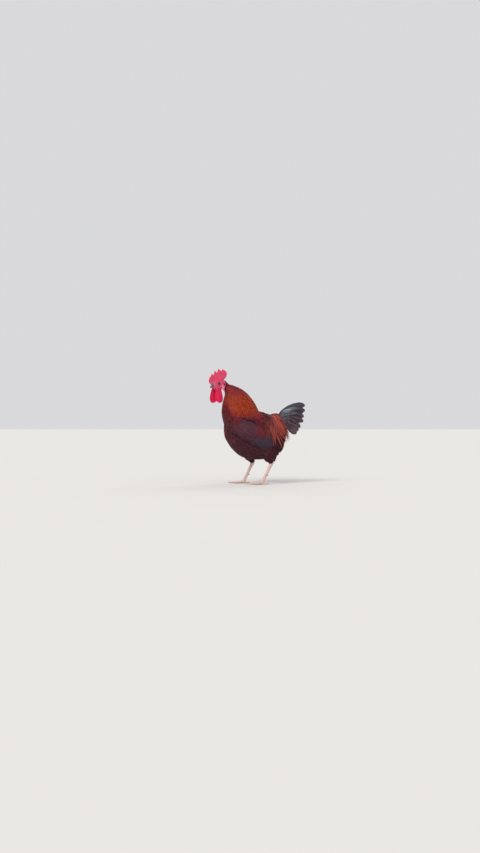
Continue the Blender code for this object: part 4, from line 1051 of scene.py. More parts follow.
def plumage_finish(name, roughness, red=None, streak=0.2, root_shade=0.35, rim_sheen=0.15):
    """Feathers: tone per feather, painted shade at the roots, painted sheen on the rims, a fine shaft, and
    barbs that slant off it.
    """
    finish = Finish(name, specular_ior_level=0.14)
    edge, quill, chance = finish.field("vane")
    base, steel = marked_colour(finish, red or colours().crimson)
    rib = finish.barbs(0.0007, chance)
    tone = 0.84 + 0.32 * chance
    # Painted shade: each feather darker towards its root, where the next one laps over it
    root_shading = 1.0 - root_shade * (1.0 - quill.between(0.15, 0.75))
    patchy = 0.80 + 0.40 * finish.noise(30.0, 3.0)
    strands = 1.0 + streak * (finish.noise(900.0, 1.0) - 0.5)
    # Painted sheen: lighter rims on the outer part of each feather
    rim = abs(edge).between(0.60, 1.0) * quill.between(0.3, 0.8)
    shaft = 1.0 - abs(edge).between(0.02, 0.12)
    light = tone * root_shading * patchy * strands * (1.0 + 0.02 * rib) * (1.0 - 0.65 * finish.number("shade_and_tone"))
    shaded = finish.scaled(base, light * (1.0 + rim_sheen * rim) * (1.0 - 0.18 * shaft))
    rough = roughness + 0.10 * (chance - 0.5) - 0.08 * steel
    return finish.done(base_color=shaded, roughness=rough, normal=finish.bumped(rib, 0.00002))


def tail_finish():
    """Tail feathers: near black, with painted cold sheen in bands along the upper webs of the curved ones, in
    broad patches and on the rims, and painted shade towards the roots.
    """
    shades = colours()
    finish = Finish("tail_plumage", specular_ior_level=0.35)
    edge, quill, chance = finish.field("vane")
    pale, red, _ = finish.field("marks")
    rib = finish.barbs(0.0009, chance)
    broad = finish.noise(24.0, 2.0)
    base = finish.mixed(shades.tail, finish.mixed(shades.tail, shades.crimson, 0.55), red)
    # Painted reflection: broad patches of dim blue-grey sheen
    base = finish.mixed(base, finish.scaled(shades.sheen, 0.30), broad.between(0.45, 0.70) * 0.45)
    # Tone per feather, and painted shade towards each feather's root
    light = (0.80 + 0.40 * chance) * (0.60 + 0.40 * quill.between(0.05, 0.5)) * (1.0 + 0.06 * rib)
    base = finish.scaled(base, light * (1.0 - 0.5 * finish.number("shade_and_tone")))
    # Painted highlights: pale bands along the upper webs, as strong as each feather's pale mark
    sheen_band = (0.9 - abs(edge)).between(0.0, 0.35) * quill.between(0.20, 0.45)
    sheen_band = sheen_band * (1.0 - quill.between(0.60, 0.92))
    base = finish.mixed(base, shades.sheen, pale * sheen_band * 0.8)
    # Painted sheen on the rims
    rim = abs(edge).between(0.7, 1.0) * quill.between(0.4, 0.9)
    base = finish.mixed(base, shades.sheen, rim * 0.10)
    shaft = 1.0 - abs(edge).between(0.01, 0.06)
    base = finish.mixed(base, finish.scaled(shades.tail, 0.4), shaft * 0.6)
    rough = 0.44 + 0.12 * chance - 0.10 * broad
    return finish.done(base_color=base, roughness=rough, normal=finish.bumped(rib, 0.00003))


def skin_finish():
    """The skin under the feathers: down in the colours of the coat, only darker, as painted shade in the gaps
    between feathers.
    """
    finish = Finish("down", specular_ior_level=0.2, sheen_weight=0.15)
    base, _ = marked_colour(finish, colours().crimson)
    tufts = finish.noise(420.0, 3.0)
    # Darker than the coat, as painted shade between feathers, and darkened further by the darkening field
    shaded = finish.scaled(base, (0.42 + 0.36 * tufts) * (1.0 - 0.5 * finish.number("shade_and_tone")))
    return finish.done(base_color=shaded, roughness=0.85, normal=finish.bumped(tufts, 0.0008))


# The pieces
def build_skin():
    """The flesh under the feathers, from torso to neck, thighs and wing mounds."""
    size = sizes()

    def neck_core(share, angle, grow):
        turned = np.abs((angle + math.pi) % math.tau - math.pi)
        throat = np.clip((turned - math.radians(100)) / math.radians(50), 0, 1)
        return neck_point(share, angle, grow - size.hackle_depth * (1 - 0.45 * throat))

    shells = [
        grid_rings(torso_point, 40, 40, -size.coat_depth),
        grid_rings(neck_core, 24, 32, 0.0),
        ball_rings(TAIL_ROOT, (0.0150, 0.0290, 0.0230)),
    ]
    for side in SIDES.values():
        shells.append(on_leg(limb_rings(THIGH_SHAPE, 16, 20, -0.0030), side))
        shells.append(wing_mound(side))
    mesh = fused("skin", shells, BODY_VOXEL, 6)
    marks = body_marks(points_of(mesh))
    set_field(mesh, "marks", marks[:, :3])
    set_field(mesh, "shade_and_tone", marks[:, 3])
    add_piece("skin", mesh, skin_finish(), "breast_feather", "torso", "thigh_left", "thigh_right")


def wing_place(along, across):
    """The (y, z) of a place on the folded wing."""
    run = WING_TIP - WING_SHOULDER
    up = np.array((-run[1], run[0])) / np.linalg.norm(run)
    return WING_SHOULDER + np.asarray(along)[..., None] * run + np.asarray(across)[..., None] * up


def on_wing(points):
    """Places along and across the folded wing, as shares of its length and in metres."""
    run = WING_TIP - WING_SHOULDER
    long = np.linalg.norm(run)
    off = points[:, 1:] - WING_SHOULDER
    return off @ run / long**2, (off[:, 1] * run[0] - off[:, 0] * run[1]) / long


def in_wing(points):
    """Whether a place is well under the folded wing."""
    along, across = on_wing(points)
    inside = (along > 0.0) & (along < 0.74) & (across > -0.022) & (across < 0.034)
    return inside & (np.abs(points[:, 0]) > 0.03)


def before_wing(points):
    """Whether a feather from here lies over the wing's front and lower edge, and not under it."""
    along, across = on_wing(points)
    return (along < 0.03) | ((across < 0) & (along < 0.45))


def mound_height(along, across):
    """How far the folded wing stands off the flank, before its feathers' own layers."""
    lengthways = eased(along, -0.10, 0.08) * (1 - 0.80 * eased(along, 0.15, 0.95))
    return WING_SWELL * lengthways * np.clip(1 - (across / WING_HALF_DEPTH) ** 2, 0, 1) ** 0.6


def wing_marks(where):
    """Warm, crimson, steel and darkening of the wing at these (y, z): painted light on the shoulder and upper
    wing, and painted shade left along the lower edge.
    """
    y, z = where[..., 0], where[..., 1]
    bow = eased(y, -0.020, 0.006) * (1 - eased(y, 0.050, 0.075)) * eased(z, 0.186, 0.204)
    shoulder = 1 - eased(y, -0.030, 0.0)
    front = (1 - eased(y, -0.080, -0.060)) * eased(z, 0.236, 0.252)
    steel = (1 - bow) * (0.95 - 0.55 * shoulder) * (1 - 0.45 * eased(z, 0.165, 0.200)) * (1 - front)
    # Painted light: the shoulder and the upper wing are lighter, and the lower edge stays darker as painted
    # shade
    shade_and_tone = -0.30 * shoulder * eased(z, 0.18, 0.21) * (1 - front) - 0.20 * eased(z, 0.168, 0.190) * (1 - bow)
    return np.stack([0 * y, 0.12 + 0.40 * bow + 0.22 * front, steel, shade_and_tone], -1)


def wing_mound(side):
    """Rings of the wing's flesh, from its shoulder to where the quills begin."""
    alongs = np.linspace(-0.06, 0.55, 14)
    turn = turns(20)
    along = np.repeat(alongs[:, None], len(turn), 1)
    across = np.repeat(0.034 * np.sin(turn)[None, :], len(alongs), 0)
    place = wing_place(along, across)
    rise = np.where(np.cos(turn) > 0, mound_height(along, across) - 0.0030, -0.0100)
    points, _ = on_flank(side, place[..., 0], place[..., 1], rise)
    return points


def body_heading(points):
    """The lie of the breast, back, flanks and rump."""
    x, y, z = points.T
    side = np.clip(x / 0.02, -1, 1)
    steep = np.interp(y, (-0.14, -0.11, -0.06, 0.02, 0.08, 0.12), (80, 66, 48, 38, 50, 68))
    on_back = eased(z, 0.230, 0.300) * eased(y, -0.100, -0.030)
    steep = steep * (1 - on_back) + 8.0 * on_back
    steep = steep * (1 - 0.75 * eased(-z, -0.150, -0.100))
    fall = np.radians(steep)
    return np.stack([0.15 * side, np.cos(fall), -np.sin(fall)], -1)


def build_body_feathers():
    """Breast, back, belly and rump: small feathers that lap closely, and lie over the wings' front edges."""
    size = sizes()
    skin = Surface(bpy.data.objects["skin"])
    finish = plumage_finish("body_plumage", 0.60, root_shade=0.22, rim_sheen=0.10)
    rows = 8
    for name, seed, low, high in (("breast_coat", 3, -0.20, -0.045), ("flank_coat", 5, -0.045, 0.20)):
        rng = np.random.default_rng(seed)

        def wanted(points, outs):
            _, y, z = points.T
            elsewhere = in_wing(points) | (cape_height(points) > 0.030) | (z < 0.108)
            return (y >= low) & (y < high) & (z < 0.40) & ~elsewhere

        roots, outs = scattered(skin, size.body_spacing, wanted, rng)
        count = len(roots)
        short = np.interp(roots[:, 1], (-0.14, -0.09, 0.02, 0.12), (0.80, 0.92, 1.0, 1.15))
        lengths = size.body_feather * short * rng.uniform(0.85, 1.15, count)
        path, faces = laid(skin, roots, outs, body_heading, lengths, rows, rng.normal(0, 0.12, count))
        heights = rising(size.coat_depth * rng.uniform(0.90, 1.04, count), rows)
        # Those before the wing lie over its edge, apart from ones that it would lift too far
        over = settled(path, faces, heights, WINGS, 0.0004)
        before = before_wing(roots)
        fading = 0.0045 * (1 - eased(on_wing(roots)[0], 0.10, 0.38))
        fits = (over <= size.coat_depth + fading[:, None]).all(1) | ~before
        heights = np.where(before[:, None], over, heights)[fits]
        path, faces, roots = path[fits], faces[fits], roots[fits]
        lengths, before = lengths[fits], before[fits]
        count = len(roots)
        # The others stay under it
        under = in_wing(path.reshape(-1, 3)).reshape(count, rows) & ~before[:, None]
        heights = np.where(under, np.minimum(heights, 0.0005), heights)
        half = lengths * 0.22 * rng.uniform(0.85, 1.15, count)
        marks = body_marks(roots)
        marks[:, 1] = np.clip(marks[:, 1] + rng.normal(0, 0.05, count), 0, 1)
        tilts = np.sign(roots[:, 0]) * 0.05 + rng.normal(0, 0.06, count)
        vanes = Vanes()
        vanes.add(path, faces, "soft", half, heights, tilts, marks, unwrapped(roots), rng)
        vanes.piece(name, finish, "breast_feather")


def leg_heading(points):
    return np.stack([0 * points[:, 0], 0.28 + 0 * points[:, 1], -1.0 + 0 * points[:, 2]], -1)


def vent_heading(points):
    side = np.clip(points[:, 0] / 0.03, -1, 1)
    back = np.interp(points[:, 2], (0.11, 0.15, 0.22), (0.25, 0.55, 0.80))
    return np.stack([0.18 * side, back, -1.0 + 0 * back], -1)


def build_vent_feathers():
    """Loose soft feathers under the tail and behind the thighs."""
    skin = Surface(bpy.data.objects["skin"])
    rng = np.random.default_rng(11)

    def wanted(points, outs):
        _, y, z = points.T
        return (y > 0.055) & (z > 0.118) & (z < 0.235) & (outs[:, 1] > 0.25)

    roots, outs = scattered(skin, 0.0043, wanted, rng)
    count = len(roots)
    lengths = rng.uniform(0.022, 0.034, count)
    path, faces = laid(skin, roots, outs, vent_heading, lengths, 9, rng.normal(0, 0.16, count), 0.65)
    heights = rising(rng.uniform(0.004, 0.008, count), 9, power=0.5)
    marks = body_marks(roots)
    marks[:, 3] += rng.uniform(0, 0.25, count)
    tilts = rng.normal(0, 0.12, count)
    vanes = Vanes()
    vanes.add(path, faces, "soft", lengths * 0.20, heights, tilts, marks, unwrapped(roots), rng)
    finish = plumage_finish("vent_plumage", 0.68, root_shade=0.25, rim_sheen=0.10)
    vanes.piece("vent_coat", finish, "breast_feather")


def build_leg_feathers():
    """Soft feathers down each thigh to the hock."""
    skin = Surface(bpy.data.objects["skin"])
    finish = plumage_finish("thigh_plumage", 0.65)
    for word, side in SIDES.items():
        rng = np.random.default_rng(21 + side)

        def wanted(points, outs):
            return (points[:, 2] < 0.128) & (points[:, 0] * side > 0.004)

        roots, outs = scattered(skin, 0.0052, wanted, rng)
        count = len(roots)
        lengths = np.interp(roots[:, 2], (0.085, 0.13), (0.010, 0.022)) * rng.uniform(0.85, 1.15, count)
        path, faces = laid(skin, roots, outs, leg_heading, lengths, 6, rng.normal(0, 0.14, count))
        heights = rising(np.interp(roots[:, 2], (0.085, 0.12), (0.0020, 0.0040)), 6, 0.0006)
        tilts = rng.normal(0, 0.12, count)
        marks = body_marks(roots)
        vanes = Vanes()
        vanes.add(path, faces, "pointed", lengths * 0.26, heights, tilts, marks, unwrapped(roots), rng)
        vanes.piece(f"thigh_coat_{word}", finish, "breast_feather")


def build_wings():
    """The folded wings: tiers of coverts over secondaries over primaries."""
    finish = plumage_finish("wing_plumage", 0.50, root_shade=0.25, rim_sheen=0.22)
    rows = 14
    shares = np.linspace(0, 1, rows)
    fan = 1 - WING_FAN * (1 - shares)
    sunk = np.clip(1 - shares / 0.3, 0, 1) * 0.0040
    for word, side in SIDES.items():
        rng = np.random.default_rng(31 + side)
        vanes = Vanes(columns=7)
        for root, tip, low, high, count, half, layer, outline in WING_TIERS:
            place = np.linspace(0, 1, count)
            across = (low + (high - low) * place + rng.normal(0, 0.0005, count))[:, None] * fan
            end = tip - WING_ROUNDING * (2 * place - 1) ** 2 + rng.normal(0, 0.006, count)
            along = root + (end - root)[:, None] * shares
            where = wing_place(along, across)
            rise = np.maximum(mound_height(along, across) + layer + 0.0010 * shares, 0.0010) - sunk
            path, outs = on_flank(side, where[..., 0], where[..., 1], rise)
            marks = wing_marks(where)
            marks[..., 1:] += rng.normal(0, 0.04, (count, 1, 3))
            marks[..., :3] = np.clip(marks[..., :3], 0, 1)
            tilts = side * math.radians(4) + rng.normal(0, 0.02, count)
            half_widths = half * rng.uniform(0.95, 1.05, count)
            flat = np.zeros((count, rows))
            spots = np.stack([0.1 + 0.8 * place, 0 * place + 0.05 + 0.85 * (tip + root) / 2], -1)
            vanes.add(path, outs, outline, half_widths, flat, tilts, marks, spots, rng, 0.12)
        vanes.piece(f"wing_coat_{word}", finish, "wing_feather", f"wing_{word}")


def tail_path(side, layer, angle, length, bow, start, rows):
    """A tail feather's path and facing, from inside the root, out and back, bowed upwards."""
    shares = np.linspace(0, 1, rows)[:, None]
    ahead = np.array((0, math.cos(angle), math.sin(angle)))
    upwards = np.array((0, -math.sin(angle), math.cos(angle)))
    away = 0.0015 + 0.0014 * layer + length * shares * math.tan(math.radians(1.3) * layer)
    bowed = upwards * bow * 4 * shares * (1 - shares)
    path = np.array(TAIL_ROOT) + ahead * start + (ahead * shares + bowed) * length
    path = path + np.array((side, 0, 0)) * away
    outs = np.broadcast_to(unit(np.array((side, 0.0, 0.12))), path.shape)
    return path, outs


def build_tail():
    """The main tail feathers, the curved sickles over them and the coverts at their roots."""
    vanes = Vanes(columns=9, thickness=0.0005)
    rng = np.random.default_rng(41)
    rows = 18
    flat = np.zeros((1, rows))
    for side in SIDES.values():
        for number, group in enumerate(TAIL_GROUPS):
            count, longest, shortest, half, first, last, layer, bow, pale, outline = group
            for i in range(count):
                place = i / (count - 1)
                angle = math.radians(first + (last - first) * place + rng.normal(0, 1.2))
                length = sizes().tail_feather * (shortest + (longest - shortest) * (1 - place) ** 2)
                length = length * rng.uniform(0.96, 1.03)
                on_layer = layer + (i if number == 0 else 0.4 * (i % 2))
                path, outs = tail_path(side, on_layer, angle, length, bow, 0.006 + 0.001 * number, rows)
                # Strength of this feather's painted highlight band
                light = 0.8 * pale * (1 - place) * rng.uniform(0.3, 1.0)
                marks = np.array([[light, 0.15 + 0.30 * place, 0.0, 0.25 * rng.uniform()]])
                spot = np.array([[0.04 + 0.19 * number + 0.17 * place, 0.25 + 0.5 * (side > 0)]])
                tilt = side * (0.03 if number == 0 else 0.08)
                vanes.add(path[None], outs[None], outline, [half], flat, tilt, marks, spot, rng, 0.12, 0.0)
    vanes.piece("tail_feathers", tail_finish(), "tail_feather", "tail")


def saddle_heading(points):
    x, y, z = points.T
    side = np.where(np.abs(x) < 0.002, 1.0, np.sign(x))
    back = np.interp(y, (0.04, 0.07, 0.095, 0.12), (0.06, 0.22, 0.62, 0.95))
    outward = np.interp(z, (0.22, 0.28), (0.10, 0.75))
    return np.stack([outward * side, back, -1.0 + 0 * x], -1)


def build_saddle():
    """The long narrow feathers that hang from the back over the flank and wing tips."""
    size = sizes()
    skin = Surface(bpy.data.objects["skin"])
    rng = np.random.default_rng(51)
    rows = 14

    def wanted(points, outs):
        _, y, z = points.T
        return (y > 0.024) & (y < 0.106) & (z > 0.240) & (np.hypot(y - 0.082, z - 0.275) > 0.006)

    roots, outs = scattered(skin, 0.0033, wanted, rng)
    count = len(roots)
    tuft = rng.integers(0, count, SADDLE_TUFTS)
    near = np.linalg.norm(roots[:, None] - roots[tuft][None], axis=-1).argmin(1)
    longest = np.interp(roots[:, 1], (0.024, 0.045, 0.065, 0.10), (0.28, 0.60, 1.0, 0.72))
    lengths = size.saddle_feather * longest
    lengths = lengths * rng.uniform(0.45, 1.0, count) * rng.uniform(0.85, 1.1, SADDLE_TUFTS)[near]
    yaw = rng.normal(0, 0.05, count) + rng.normal(0, 0.11, SADDLE_TUFTS)[near]
    path, faces = laid(skin, roots, outs, saddle_heading, lengths, rows, yaw, 0.5)
    heights = rising(size.coat_depth + rng.uniform(0.0, 0.004, count), rows)
    heights = settled(path, faces, heights, (*WINGS, "flank_coat"), CLEARANCE)
    # Darker strands at the front, lighter ones at the rear
    front, rear = 1 - eased(roots[:, 1], 0.035, 0.080), eased(roots[:, 1], 0.070, 0.100)
    warm = rng.uniform(0.0, 0.25, count) * (1 - 0.7 * front)
    dark = rng.normal(-0.25, 0.22, SADDLE_TUFTS)[near] + rng.normal(0, 0.20, count)
    dark = dark + 0.80 * front - 0.25 * rear
    red = rng.uniform(0.60, 1.0, count) * (1 - 0.45 * front)
    marks = np.stack([warm, red, 0 * warm, np.clip(dark, -0.80, 0.85)], -1)
    marks = np.repeat(marks[:, None], rows, 1)
    # Painted shade: darker towards the roots, under the other strands
    marks[..., 3] += 0.30 * np.linspace(1, 0, rows) ** 2
    half = rng.uniform(0.0015, 0.0028, count)
    tilts = np.sign(roots[:, 0]) * 0.10 + rng.normal(0, 0.15, count)
    vanes = Vanes(thickness=0.0003)
    vanes.add(path, faces, "strand", half, heights, tilts, marks, unwrapped(roots), rng, 0.03)
    finish = plumage_finish("saddle_plumage", 0.50, colours().saddle, streak=0.4, root_shade=0.25)
    vanes.piece("saddle_coat", finish, "saddle_feather", "saddle")


def hackle_heading(points):
    back = np.interp(points[:, 2], (0.26, 0.32, 0.40), (0.30, 0.50, 0.80))
    return np.stack([0 * back, back, -0.9 + 0 * back], -1)


def build_hackle():
    """The cape: tapered feathers down the neck that spread over the shoulders."""
    size = sizes()
    skin = Surface(bpy.data.objects["skin"])
    rng = np.random.default_rng(61)
    rows = 12

    def wanted(points, outs):
        return (cape_height(points) > 0.002) & (points[:, 1] < 0.018) & (points[:, 2] > 0.27)

    def spacing(points):
        return np.interp(points[:, 2], (0.27, 0.33, 0.40), (0.0043, 0.0038, 0.0029))

    roots, outs = scattered(skin, spacing, wanted, rng)
    count = len(roots)
    around = neck_front(roots)
    lengths = size.hackle_feather * np.interp(roots[:, 2], (0.27, 0.34, 0.41), (1.0, 0.80, 0.30))
    lengths = lengths * np.interp(around, (-1.0, -0.5), (0.38, 1.0)) * rng.uniform(0.80, 1.1, count)
    path, faces = laid(skin, roots, outs, hackle_heading, lengths, rows, rng.normal(0, 0.05, count))
    # Feathers end at the cape's ragged lower and rear edge
    edge = on_line(CAPE_EDGE, path[..., 1].ravel()) + np.repeat(rng.normal(-0.002, 0.005, count), rows)
    limit = 0.024 + np.repeat(rng.normal(0, 0.004, count), rows)

    def inside(points):
        return (points[:, 2] > edge) & (points[:, 1] < limit)

    path, faces, kept, share = cut_short(path, faces, inside, 0.25)
    lengths, roots, around = lengths[kept] * share, roots[kept], around[kept]
    count = len(roots)
    thick = np.interp(around, (-1.1, -0.6), (0.55, 1.0)) * np.interp(roots[:, 2], (0.36, 0.41), (1.0, 0.45))
    heights = rising(size.hackle_depth * thick * rng.uniform(0.92, 1.03, count), rows, power=0.5)
    heights = settled(path, faces, heights, (*WINGS, "saddle_coat", "breast_coat", "flank_coat"), CLEARANCE)
    marks = body_marks(path.reshape(-1, 3)).reshape(count, rows, 4)
    marks[..., 0] = np.clip(marks[..., 0] * (1 + rng.normal(0, 0.08, (count, 1))), 0, 1)
    half = np.interp(lengths, (0.02, 0.07), (0.0024, 0.0039)) * rng.uniform(0.9, 1.1, count)
    tilts = np.sign(roots[:, 0]) * 0.08 + rng.normal(0, 0.05, count)
    vanes = Vanes()
    vanes.add(path, faces, "pointed", half, heights, tilts, marks, unwrapped(roots), rng)
    finish = plumage_finish("hackle_plumage", 0.50, streak=0.4, root_shade=0.20)
    vanes.piece("hackle_coat", finish, "hackle_feather", "neck")


# Head
def comb_rings():
    """Rings of the comb from its front to its rear blade, with its points cut in and a slight wave."""
    count = 170
    shares = np.linspace(0, 1, count)
    forward, top, bottom = rows_at(COMB_SHAPE, shares).T
    for low, high, depth in zip(COMB_TIPS, COMB_TIPS[1:], COMB_NOTCHES):
        into = np.clip(1 - np.abs(2 * (shares - low) / (high - low) - 1), 0, 1)
        top = top - depth * (0.45 * into + 0.55 * into**2.2)
    height = top - bottom
    ups = np.array((0.0, 0.06, 0.14, 0.28, 0.45, 0.62, 0.78, 0.90, 0.97, 1.0))
    thick = np.array((0.0, 0.80, 1.0, 0.74, 0.58, 0.48, 0.42, 0.36, 0.26, 0.0)) * 0.0038
    half = thick[None, :] * np.minimum(1.0, height / 0.010)[:, None]
    half = half * (1 + 0.12 * np.sin(shares * 60.0)[:, None] * ups)
    up = bottom[:, None] + height[:, None] * ups
    wave = 0.0022 * np.sin(shares * 7.0 + 0.6)[:, None] * ups**1.5
    left = np.stack([wave + half, np.repeat(-forward[:, None], len(ups), 1), up], -1)
    right = np.stack([wave - half, left[..., 1], up], -1)[:, -2:0:-1]
    return np.concatenate([left, right], 1)


def wattle_rings(side):
    """Rings of one wattle in the head's turned frame, with soft folds that run down it."""
    sideways, forward, swing = WATTLES[side]
    shares = np.linspace(0, 1, 44)[:, None]
    drop, half_length, half_thick = rows_at(WATTLE_SHAPE, shares[:, 0]).T[..., None]
    turn = turns(48)
    along = np.cos(turn)[None, :]
    swell = np.sin(math.pi * shares)
    fold = 0.0017 * np.sin(2.3 * math.pi * along + 1.6 * shares) * swell
    curl = 0.0024 * along**2 * swell * side
    pinch = 1 - 0.35 * np.exp(-((along - 0.15) / 0.18) ** 2) * swell
    return np.stack([
        sideways + np.sin(turn) * half_thick * pinch + 0.6 * fold - curl,
        -(forward + swing * drop + along * half_length),
        np.repeat(-WATTLE_DROP * drop, len(turn), 1),
    ], -1)


def lobe_rings(side):
    """Rings of an earlobe from its top to its narrow lower end."""
    shares = np.linspace(0, 1, 18)[:, None]
    wide = on_line(LOBE_OUTLINE, shares)
    x, y, z = LOBE_PLACE
    half_x, half_y, half_z = LOBE_HALF_SIZES
    return np.stack([
        side * x + half_x * wide**0.7 * np.sin(turns(20)),
        y - 0.0035 * shares**1.5 + half_y * wide * np.cos(turns(20)),
        z + half_z * (1 - 2 * shares) + np.zeros(20),
    ], -1)


def fold_rings(rows, side):
    """Rings of a fold of skin along (sideways, forward, up, radius) rows on one side of the head."""
    x, forward, up, radius = rows_at(rows, np.linspace(0, 1, 24)).T
    return tube_rings(np.stack([side * x, -forward, up], -1), radius, 14)


def lid_rings(side):
    """The two lids as one ring of skin on the eyeball, open where the eye looks out."""
    turn = np.linspace(0, math.tau, 49)
    high = np.sin(turn)
    opening = np.radians(47.0 - 12.0 * np.clip(high, 0, 1) - 8.0 * np.clip(-high, 0, 1))[:, None]
    beyond, radius = np.array(LID_SECTION).T[:, None]
    flat = radius * np.sin(opening + beyond)
    return np.stack([
        side * (EYE_PLACE[0] + radius * np.cos(opening + beyond)),
        -EYE_PLACE[1] + flat * np.cos(turn)[:, None],
        EYE_PLACE[2] + flat * high[:, None],
    ], -1)


def build_head():
    """Face, comb, wattles and earlobes in one skin, with beak halves and eyes of their own."""
    place = Matrix.LocRotScale(HEAD_PLACE, Euler((HEAD_NOD, 0, HEAD_TURN)), None)
    hung = Matrix.Translation((HEAD_PLACE.x, HEAD_PLACE.y, WATTLE_TOP_Z)) @ Matrix.Rotation(HEAD_TURN, 4, "Z")
    in_head = [head_rings(HEAD_SHAPE, 40, 36), comb_rings(), fold_rings(COMB_BASE, 1)]
    below = []
    for side in SIDES.values():
        in_head += [lid_rings(side), lobe_rings(side), fold_rings(BROW, side), fold_rings(CHEEK_FOLD, side)]
        sideways, forward, _ = WATTLES[side]
        root = ball_rings((sideways * 0.85, -forward + 0.003, 0.0005), (0.0052, 0.0125, 0.0062))
        below += [wattle_rings(side), root]
    in_head.append(ball_rings((0, -0.0270, -0.0130), (0.0088, 0.0190, 0.0070)))
    shells = [moved(rings, hung) for rings in below] + [moved(rings, place) for rings in in_head]
    mesh = fused("face", shells, FACE_VOXEL, 5)
    local = moved(points_of(mesh), place.inverted())
    x, forward, up = local[:, 0], -local[:, 1], local[:, 2]
    on_comb = eased(up, 0.0150, 0.0205)
    lobe = np.zeros(len(local))
    for side in SIDES.values():
        middle = np.array((side * LOBE_PLACE[0], LOBE_PLACE[1] - 0.0015, LOBE_PLACE[2]))
        off = np.linalg.norm((local - middle) / LOBE_HALF_SIZES, axis=1)
        lobe = np.maximum(lobe, 1 - eased(off, 1.0, 1.3))
    # Creases that ring the eye, pressed into the skin, and painted shade along the edges of its lids
    eye = np.hypot(forward - EYE_PLACE[1], up - EYE_PLACE[2])
    turn = np.arctan2(up - EYE_PLACE[2], forward - EYE_PLACE[1])
    beside = eased(np.abs(x), 0.006, 0.010)
    creased = eased(eye, 0.0074, 0.0086) * (1 - eased(eye, 0.0120, 0.0165)) * beside * (1 - on_comb)
    crease = np.sin(eye * math.tau / 0.0019 + 1.3 * np.sin(3 * turn) + 0.8 * np.sin(7 * turn))
    set_points(mesh, points_of(mesh) + normals_of(mesh) * (CREASE_HEIGHT * crease * creased)[:, None])
    lid_shade = (1 - eased(eye, 0.0046, 0.0078)) * beside
    set_field(mesh, "flesh", np.stack([on_comb, lobe, lid_shade], -1))
    set_field(mesh, "wattle", eased(-up, 0.0110, 0.0170) * (1 - lobe))
    nodes = ("head", "comb", "wattle_left", "wattle_right", "earlobe_left", "earlobe_right")
    face = add_piece("face", mesh, flesh_finish(), "red_skin", *nodes)
    build_beak(place)
    build_eyes(place)
    build_bristles(face, place)
    build_nape(face, place)


def build_bristles(face, place):
    """Fine hairs on the cheeks and a tuft over each ear."""
    skin = Surface(face)
    back = place.inverted()
    rng = np.random.default_rng(71)
    outwards = np.array(place.to_3x3())

    def heading(points):
        side = np.sign(moved(points, back)[:, 0])
        return np.stack([0.25 * side, 0.9 + 0 * side, -0.55 + 0 * side], -1) @ outwards.T

    def on_cheek(points, outs):
        x, y, z = moved(points, back).T
        eye = np.hypot(-y - EYE_PLACE[1], z - EYE_PLACE[2])
        bare = (np.abs(x) > 0.007) & (z < 0.012) & (z > -0.008)
        return bare & (eye > 0.0090) & (-y < 0.040) & (-y > 0.002)

    def on_ear(points, outs):
        x, y, z = moved(points, back).T
        return (np.hypot(-y - 0.005, z * 0.8) < 0.0040) & (np.abs(x) > 0.010)

    vanes = Vanes(columns=3, thickness=0.00012)
    # Groups: (where, spacing, shortest, longest, half width, height at the tip, darkening)
    groups = (
        (on_cheek, 0.0026, 0.0018, 0.0032, 0.00009, 0.0005, 0.1),
        (on_ear, 0.0011, 0.0034, 0.0056, 0.00022, 0.0012, 0.0),
    )
    for where, spacing, short, long, half, tip, shade_and_tone in groups:
        roots, outs = scattered(skin, spacing, where, rng)
        count = len(roots)
        lengths = rng.uniform(short, long, count)
        path, faces = laid(skin, roots, outs, heading, lengths, 7, rng.normal(0, 0.18, count))
        heights = rising(np.full(count, tip), 7, 0.0003, 0.7)
        marks = np.array((0.35, 0.85, 0.0, shade_and_tone)) + rng.normal(0, 0.06, (count, 4))
        tilts = rng.normal(0, 0.15, count)
        halves = half * rng.uniform(0.8, 1.2, count)
        vanes.add(path, faces, "strand", halves, heights, tilts, marks, unwrapped(roots), rng, 0.1, 0.0)
    vanes.piece("face_bristles", plumage_finish("bristles", 0.60, root_shade=0.15), "hackle_feather")


def nape_heading(points):
    """Back off the head and then down the neck."""
    down = np.interp(points[:, 2], (0.370, 0.395, 0.415), (-0.90, -0.75, -0.45))
    aside = 0.15 * np.sign(points[:, 0] - HEAD_PLACE.x)
    return np.stack([aside, 0.80 + 0 * down, down], -1)


def build_nape(face, place):
    """The cape's first feathers, which start on the back of the head and lie over the neck's own."""
    back = place.inverted()
    rng = np.random.default_rng(73)
    rows = 12

    def on_nape(points, outs):
        _, y, z = moved(points, back).T
        return (-y < -0.0055 + 0.25 * z) & (z < 0.0165) & (z > -0.0150)

    roots, outs = scattered(Surface(face), 0.0019, on_nape, rng)
    count = len(roots)
    lengths = rng.uniform(0.020, 0.032, count)
    skin = Surface(face, bpy.data.objects["skin"])
    path, faces = laid(skin, roots, outs, nape_heading, lengths, rows, rng.normal(0, 0.07, count))
    for _ in range(2):
        faces[:, 1:-1] = unit(faces[:, :-2] + faces[:, 1:-1] + faces[:, 2:])
        path[:, 1:-1] = (path[:, :-2] + 2 * path[:, 1:-1] + path[:, 2:]) / 4
    heights = rising(rng.uniform(0.0020, 0.0032, count), rows, 0.0004, 0.6)
    heights = np.minimum(settled(path, faces, heights, ("hackle_coat",), CLEARANCE), 0.0115)
    for _ in range(2):
        heights[:, 1:-1] = (heights[:, :-2] + heights[:, 1:-1] + heights[:, 2:]) / 3
    marks = np.array((0.30, 0.90, 0.0, 0.0)) + rng.normal(0, 0.05, (count, 4))
    tilts = np.sign(roots[:, 0] - HEAD_PLACE.x) * 0.08 + rng.normal(0, 0.06, count)
    halves = 0.0017 * rng.uniform(0.85, 1.15, count)
    vanes = Vanes()
    vanes.add(path, faces, "pointed", halves, heights, tilts, marks, unwrapped(roots), rng)
    vanes.piece("nape_coat", plumage_finish("nape_plumage", 0.50, streak=0.4, root_shade=0.15), "hackle_feather")


